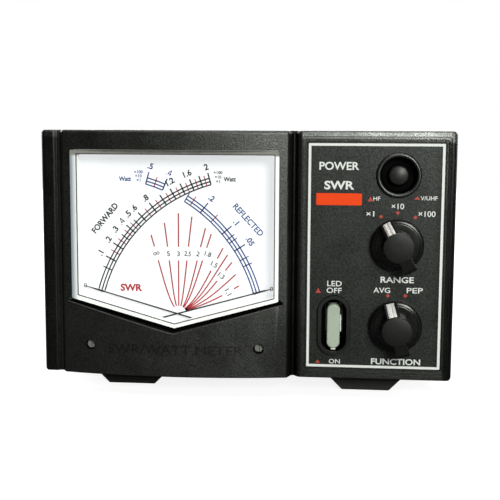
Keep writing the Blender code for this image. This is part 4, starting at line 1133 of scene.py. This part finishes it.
def knob(name):
    centre, lean, control = KNOBS[name], KNOB_LEANS[name], f"{name}_control"
    skirt = [(0, -3.3), (7.9, -3.15), (8.2, -3.0), (8.35, -3.1), (8.9, -3.05), (9.45, -2.75)]
    skirt += [(SKIRT_RADIUS, -2.3), (SKIRT_RADIUS, -0.25), (SKIRT_RADIUS - 0.15, -0.1)]
    skirt += [(7.4, -0.1), (7.4, -2.1), (0, -2.1)]
    grip = [(0, GRIP_FRONT + 0.6), (GRIP_RADIUS - 0.2, GRIP_FRONT + 0.6)]
    grip += [(GRIP_RADIUS, GRIP_FRONT + 0.85), (GRIP_RADIUS + 0.2, -2.5), (0, -2.5)]
    side_view = [(-TAIL_REACH, -2.3), (-TAIL_REACH, BAR_FRONT + 1.0)]
    side_view += [(-TAIL_REACH + 1.0, BAR_FRONT), (4.6, BAR_FRONT)]
    side_view += [(POINTER_REACH, NOSE_FRONT), (POINTER_REACH, -2.3)]
    bar = bevelled(leaning(side_view, BAR_WIDTH, centre, lean), 0.35, 3, 40)
    body = join(turned(skirt, centre, 128), turned(grip, centre), bar)
    cut(body, leaning(nose_strip(0.5, 1.0, 0.0), 3.1, centre, lean), rod(3.06, centre, -10.4, 3))
    piece(f"{name}_knob_body", body, "gloss_black", control, f"{name}_knob", smooth=30)
    rim = GRIP_RADIUS - 0.15
    cap = [(rim * k / 10, GRIP_FRONT + 0.42 * (k / 10) ** 2.6) for k in range(11)]
    lid = turned(cap + [(rim, GRIP_FRONT + 0.6), (0, GRIP_FRONT + 0.6)], centre)
    piece(f"{name}_knob_cap", lid, "grip_top", control, slot="gloss_black")
    strip = bevelled(leaning(nose_strip(0.4, 0.12, 0.1), 2.9, centre, lean), 0.08, 2)
    for offset in (-0.74, 0.74):
        join(strip, bevelled(leaning(nose_strip(0.1, 0.45, 0.3), 0.95, centre, lean, offset), 0.3))
    piece(f"{name}_pointer_strip", strip, "bright_insert", control, f"{name}_pointer")


def sensor_button():
    """The round button, with a domed cap on its plunger."""
    radius, edge = 3.75, 1.1
    cap = [(0, 0.1), (0.8, 0.13), (1.6, 0.24), (2.2, 0.42)]
    for turn in (math.radians(10 * k) for k in range(2, 10)):
        cap.append((radius - edge + edge * math.sin(turn), 0.55 + edge * (1 - math.cos(turn))))
    cap += [(radius, 5.2), (1.7, 5.2), (1.7, 16), (0, 16)]
    piece("sensor_cap", turned(cap, SENSOR), "button_black", "sensor_push", "sensor_button")


def led_button():
    """The long button's cap on its plunger, with a pale rib at its right and another under it: painted
    highlights beside and under the cap.
    """
    x, z = LED[0] - 0.2, LED[1] - 0.6
    cap = bevelled(front_plate([stadium((x, z), *LED_CAP, 32)], 0.5, 5.2), 0.6, 4)
    join(cap, rod(1.7, LED, 5, 16))
    piece("led_cap", cap, "button_grey", "led_push", "led_button")
    # Painted highlights: pale ribs at the cap's right side and under it
    side = x + LED_CAP[0] + 0.02
    end = z - LED_CAP[1] - 0.1
    rib = block((side, 0.6, z - 1.9), (side + 0.5, 2.9, z + 4.3))
    join(rib, block((x - 0.9, 1.0, end - 0.5), (x + 0.9, 2.9, end)))
    piece("led_cap_rib", bevelled(rib, 0.1, 2), "rib_painted_highlight", "led_push", slot="button_grey")


def spring(name, centre):
    """The return spring behind a button, a coil of wire built at its rest length."""
    low, high = extent(f"{name}_spring")
    wire, turns, per_turn = 0.22, 5, 24
    radius = (high.x - low.x) / 2 - wire
    curve = bpy.data.curves.new("work", "CURVE")
    curve.dimensions = "3D"
    curve.bevel_depth = wire
    curve.bevel_resolution = 2
    curve.use_fill_caps = True
    line = curve.splines.new("POLY")
    line.points.add(turns * per_turn)
    for i, point in enumerate(line.points):
        angle = 2 * math.pi * i / per_turn
        y = low.y + wire + (high.y - low.y - 2 * wire) * i / (turns * per_turn)
        point.co = (centre[0] + radius * math.cos(angle), y, centre[1] + radius * math.sin(angle), 1)
    helix = linked("work", meshed(curve))
    coil = piece(f"{name}_coil_spring", helix, "plated_steel", stands_for=f"{name}_spring")
    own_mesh(coil)


# ---------------------------------------------------------------- case


def top_cover():
    """The bent sheet over the top and sides, with two rows of cooling slots."""
    low, high = extent("top_cover")
    outer, top = high.x, high.z
    inner, under = outer - 1.0, top - 1.0
    corners = [(-outer, low.z, 0), (-inner, low.z, 0), (-inner, under, 1.2), (inner, under, 1.2)]
    corners += [(inner, low.z, 0), (outer, low.z, 0), (outer, top, 2.2), (-outer, top, 2.2)]
    cover = front_plate([fillet(corners)], low.y, high.y)
    for y in (40, 76):
        for i in range(-4, 5):
            cut(cover, floor_plate([stadium((8 * i, y), 1.2, 10, 10)], top - 5, top + 5))
    piece("cover_sheet", bevelled(cover, 0.18, 2, 40), "painted_case", stands_for="top_cover")


def feet():
    for name in ("front_left", "front_right", "rear_left", "rear_right"):
        low, high = extent(f"{name}_foot")
        slant = high.z - low.z
        outline = [(low.x + slant, low.z, 0.8), (high.x - slant, low.z, 0.8)]
        outline += [(high.x, high.z, 0), (low.x, high.z, 0)]
        foot = bevelled(front_plate([fillet(outline, 5)], low.y, high.y), 0.5, 3, 40)
        piece(f"{name}_rubber", foot, "foot_rubber", stands_for=f"{name}_foot")


def threaded_barrel(centre, front, back):
    """A threaded tube: its crest winds round the outside, and fades out at both ends."""
    radius, bore, pitch, depth, around = 7.9, 6.1, 1.06, 0.45, 48
    rows = round((back - front) / pitch * 4)

    def build(bm):
        rings = []
        for row in range(rows + 1):
            share = row / rows
            y = front + (back - front) * share
            fade = min(1.0, 8 * (1 - share), 8 * share)
            ring = []
            for k in range(around):
                height = abs((y / pitch - k / around) % 1 * 2 - 1)
                r = radius - depth * (1 - height * fade)
                angle = 2 * math.pi * k / around
                x, z = centre[0] + r * math.cos(angle), centre[1] + r * math.sin(angle)
                ring.append(bm.verts.new((x, y, z)))
            rings.append(ring)
        for y in (back, front):
            rings.append([bm.verts.new((x, y, z)) for x, z in circle(centre, bore, around)])
        for first, second in zip(rings, rings[1:] + rings[:1]):
            pairs = zip(first, first[1:] + first[:1], second[1:] + second[:1], second)
            for corners in pairs:
                bm.faces.new(corners)

    return built(build)


def sockets():
    """The coaxial sockets' shells, with four notches at the mouth, and their washers."""
    wall = extent("chassis")[1].y
    for name in COAXIAL_SOCKETS:
        end = extent(f"{name}_socket")[1].y
        centre = centre_of(f"{name}_socket")
        barrel = threaded_barrel(centre, wall - 1.0, end)
        for x, z in circle(centre, 7, 4):
            cut(barrel, block((x - 1.2, end - 0.9, z - 1.2), (x + 1.2, end + 2, z + 1.2)))
        shell = {"stands_for": f"{name}_socket", "slot": "plated_steel", "smooth": 50}
        piece(f"{name}_shell", barrel, "nickel", **shell)
        profile = [(7.95, wall), (9.9, wall), (9.9, wall + 0.5), (9.6, wall + 0.8), (7.95, wall + 0.8)]
        piece(f"{name}_washer", turned(profile, centre), "plated_steel")


def rear_print():
    """Plain names of the sockets on the rear wall, read from behind."""
    ink = Print(0)
    for name, label in zip(COAXIAL_SOCKETS, ("TX", "ANT", "TX", "ANT")):
        x, z = centre_of(f"{name}_socket")
        ink.words(label, (-x, z + 13.5), 2.6, weight=0.01)
    for pair, label in ((COAXIAL_SOCKETS[:2], "HF"), (COAXIAL_SOCKETS[2:], "V/UHF")):
        x = sum(centre_of(f"{name}_socket")[0] for name in pair) / 2
        ink.words(label, (-x, 78), 3.2, weight=0.015)
    x, z = centre_of("dc_jack")
    ink.words("DC 12V", (-x, z - 9), 2.4, weight=0.01)
    turn = Matrix.Translation((0, extent("chassis")[1].y, 0)) @ Matrix.Rotation(math.pi, 4, "Z")
    bmesh.ops.transform(ink.bm, matrix=turn, verts=ink.bm.verts)
    ink.done("rear_print", "white_ink", slot="painted_case")


# ---------------------------------------------------------------- stage


def floor_paper():
    """White paper that a camera sees evenly lit, but for a faint painted shade near the object, where its
    glow is weaker.
    """
    material, tree, shader = shader_tree("floor_paper")
    rays = node(tree, "LightPath", "Is Camera Ray")
    fibres = mixed(tree, noise(tree, 3.0), (0.30,) * 3, (0.32,) * 3)
    away = node(tree, "VectorMath", "Value", {0: place_in(tree)}, operation="LENGTH")
    feed(tree, shader, {
        "Base Color": mixed(tree, rays, (0.10,) * 3, fibres),
        "Roughness": 0.8,
        "Specular IOR Level": 0.1,
        "Emission Color": (1, 1, 1, 1),
        # Painted shade: the glow is weaker within 0.4 m of the middle
        "Emission Strength": product(tree, mapped(tree, away, 0.86, 1.0, 0.12, 0.4), rays),
    })
    return material


def studio_world():
    """White to the camera, and nearly dark to everything else."""
    world = bpy.data.worlds.new("studio")
    bpy.context.scene.world = world
    world.use_nodes = True
    tree = world.node_tree
    seen = mapped(tree, node(tree, "LightPath", "Is Camera Ray"), 0.012, 1.0, 0, 1)
    feed(tree, tree.nodes["Background"], {"Color": (1, 1, 1, 1), "Strength": seen})


def lamp(name, where, width, height, power, colour=(1, 1, 1)):
    """A soft rectangular light aimed at the middle of the object."""
    light = bpy.data.lights.new(name, "AREA")
    light.shape = "RECTANGLE"
    light.size = width
    light.size_y = height
    light.energy = power
    light.color = colour
    obj = linked(name, light)
    obj.location = where
    middle = (CAD_BOUNDS[0] + CAD_BOUNDS[1]) / 2
    obj.rotation_euler = (middle - Vector(where)).to_track_quat("-Z", "Y").to_euler()


def front_camera():
    """A camera a little right of the middle, looking slightly down and left."""
    camera = bpy.data.cameras.new("camera")
    camera.lens = 69.12
    camera.sensor_width = 36
    camera.clip_start = 0.01
    eye = linked("camera", camera)
    eye.location = TO_WORLD @ Vector((35.63, -356.34, 91.58))
    yaw, pitch, roll = math.radians(5.39), math.radians(6.95), math.radians(0.285)
    look = Matrix.Rotation(yaw, 3, "Z") @ Matrix.Rotation(math.radians(90) - pitch, 3, "X")
    eye.rotation_euler = (look @ Matrix.Rotation(roll, 3, "Z")).to_euler()
    bpy.context.scene.camera = eye


def stage():
    """A pale floor, soft lights and the camera."""
    studio_world()
    floor = built(lambda bm: bmesh.ops.create_grid(bm, x_segments=1, y_segments=1, size=60))
    floor.name = "floor"
    floor.data.materials.append(floor_paper())
    lamp("front_softbox", (0.42, -1.10, 0.46), 0.36, 0.36, 13.0, (0.955, 1.0, 0.92))
    lamp("top_softbox", (0.05, -0.1, 0.85), 0.8, 0.5, 4.5)
    lamp("left_softbox", (-1.0, 0.62, 0.45), 0.7, 0.7, 8.0)
    lamp("right_softbox", (1.0, 0.62, 0.45), 0.7, 0.7, 8.0)
    lamp("rear_softbox", (-0.25, 1.2, 0.4), 0.8, 0.6, 12.0)
    front_camera()
    bpy.context.scene.view_settings.view_transform = "Standard"


# ---------------------------------------------------------------- assembly


finish_cad_nodes()
front_bezel()
collars()
embossed_words()
control_plate()
panel_print()
meter_window()
dial_card()
dial_print()
knob("range")
knob("function")
sensor_button()
led_button()
spring("sensor", SENSOR)
spring("led", LED)
top_cover()
feet()
sockets()
rear_print()
stage()
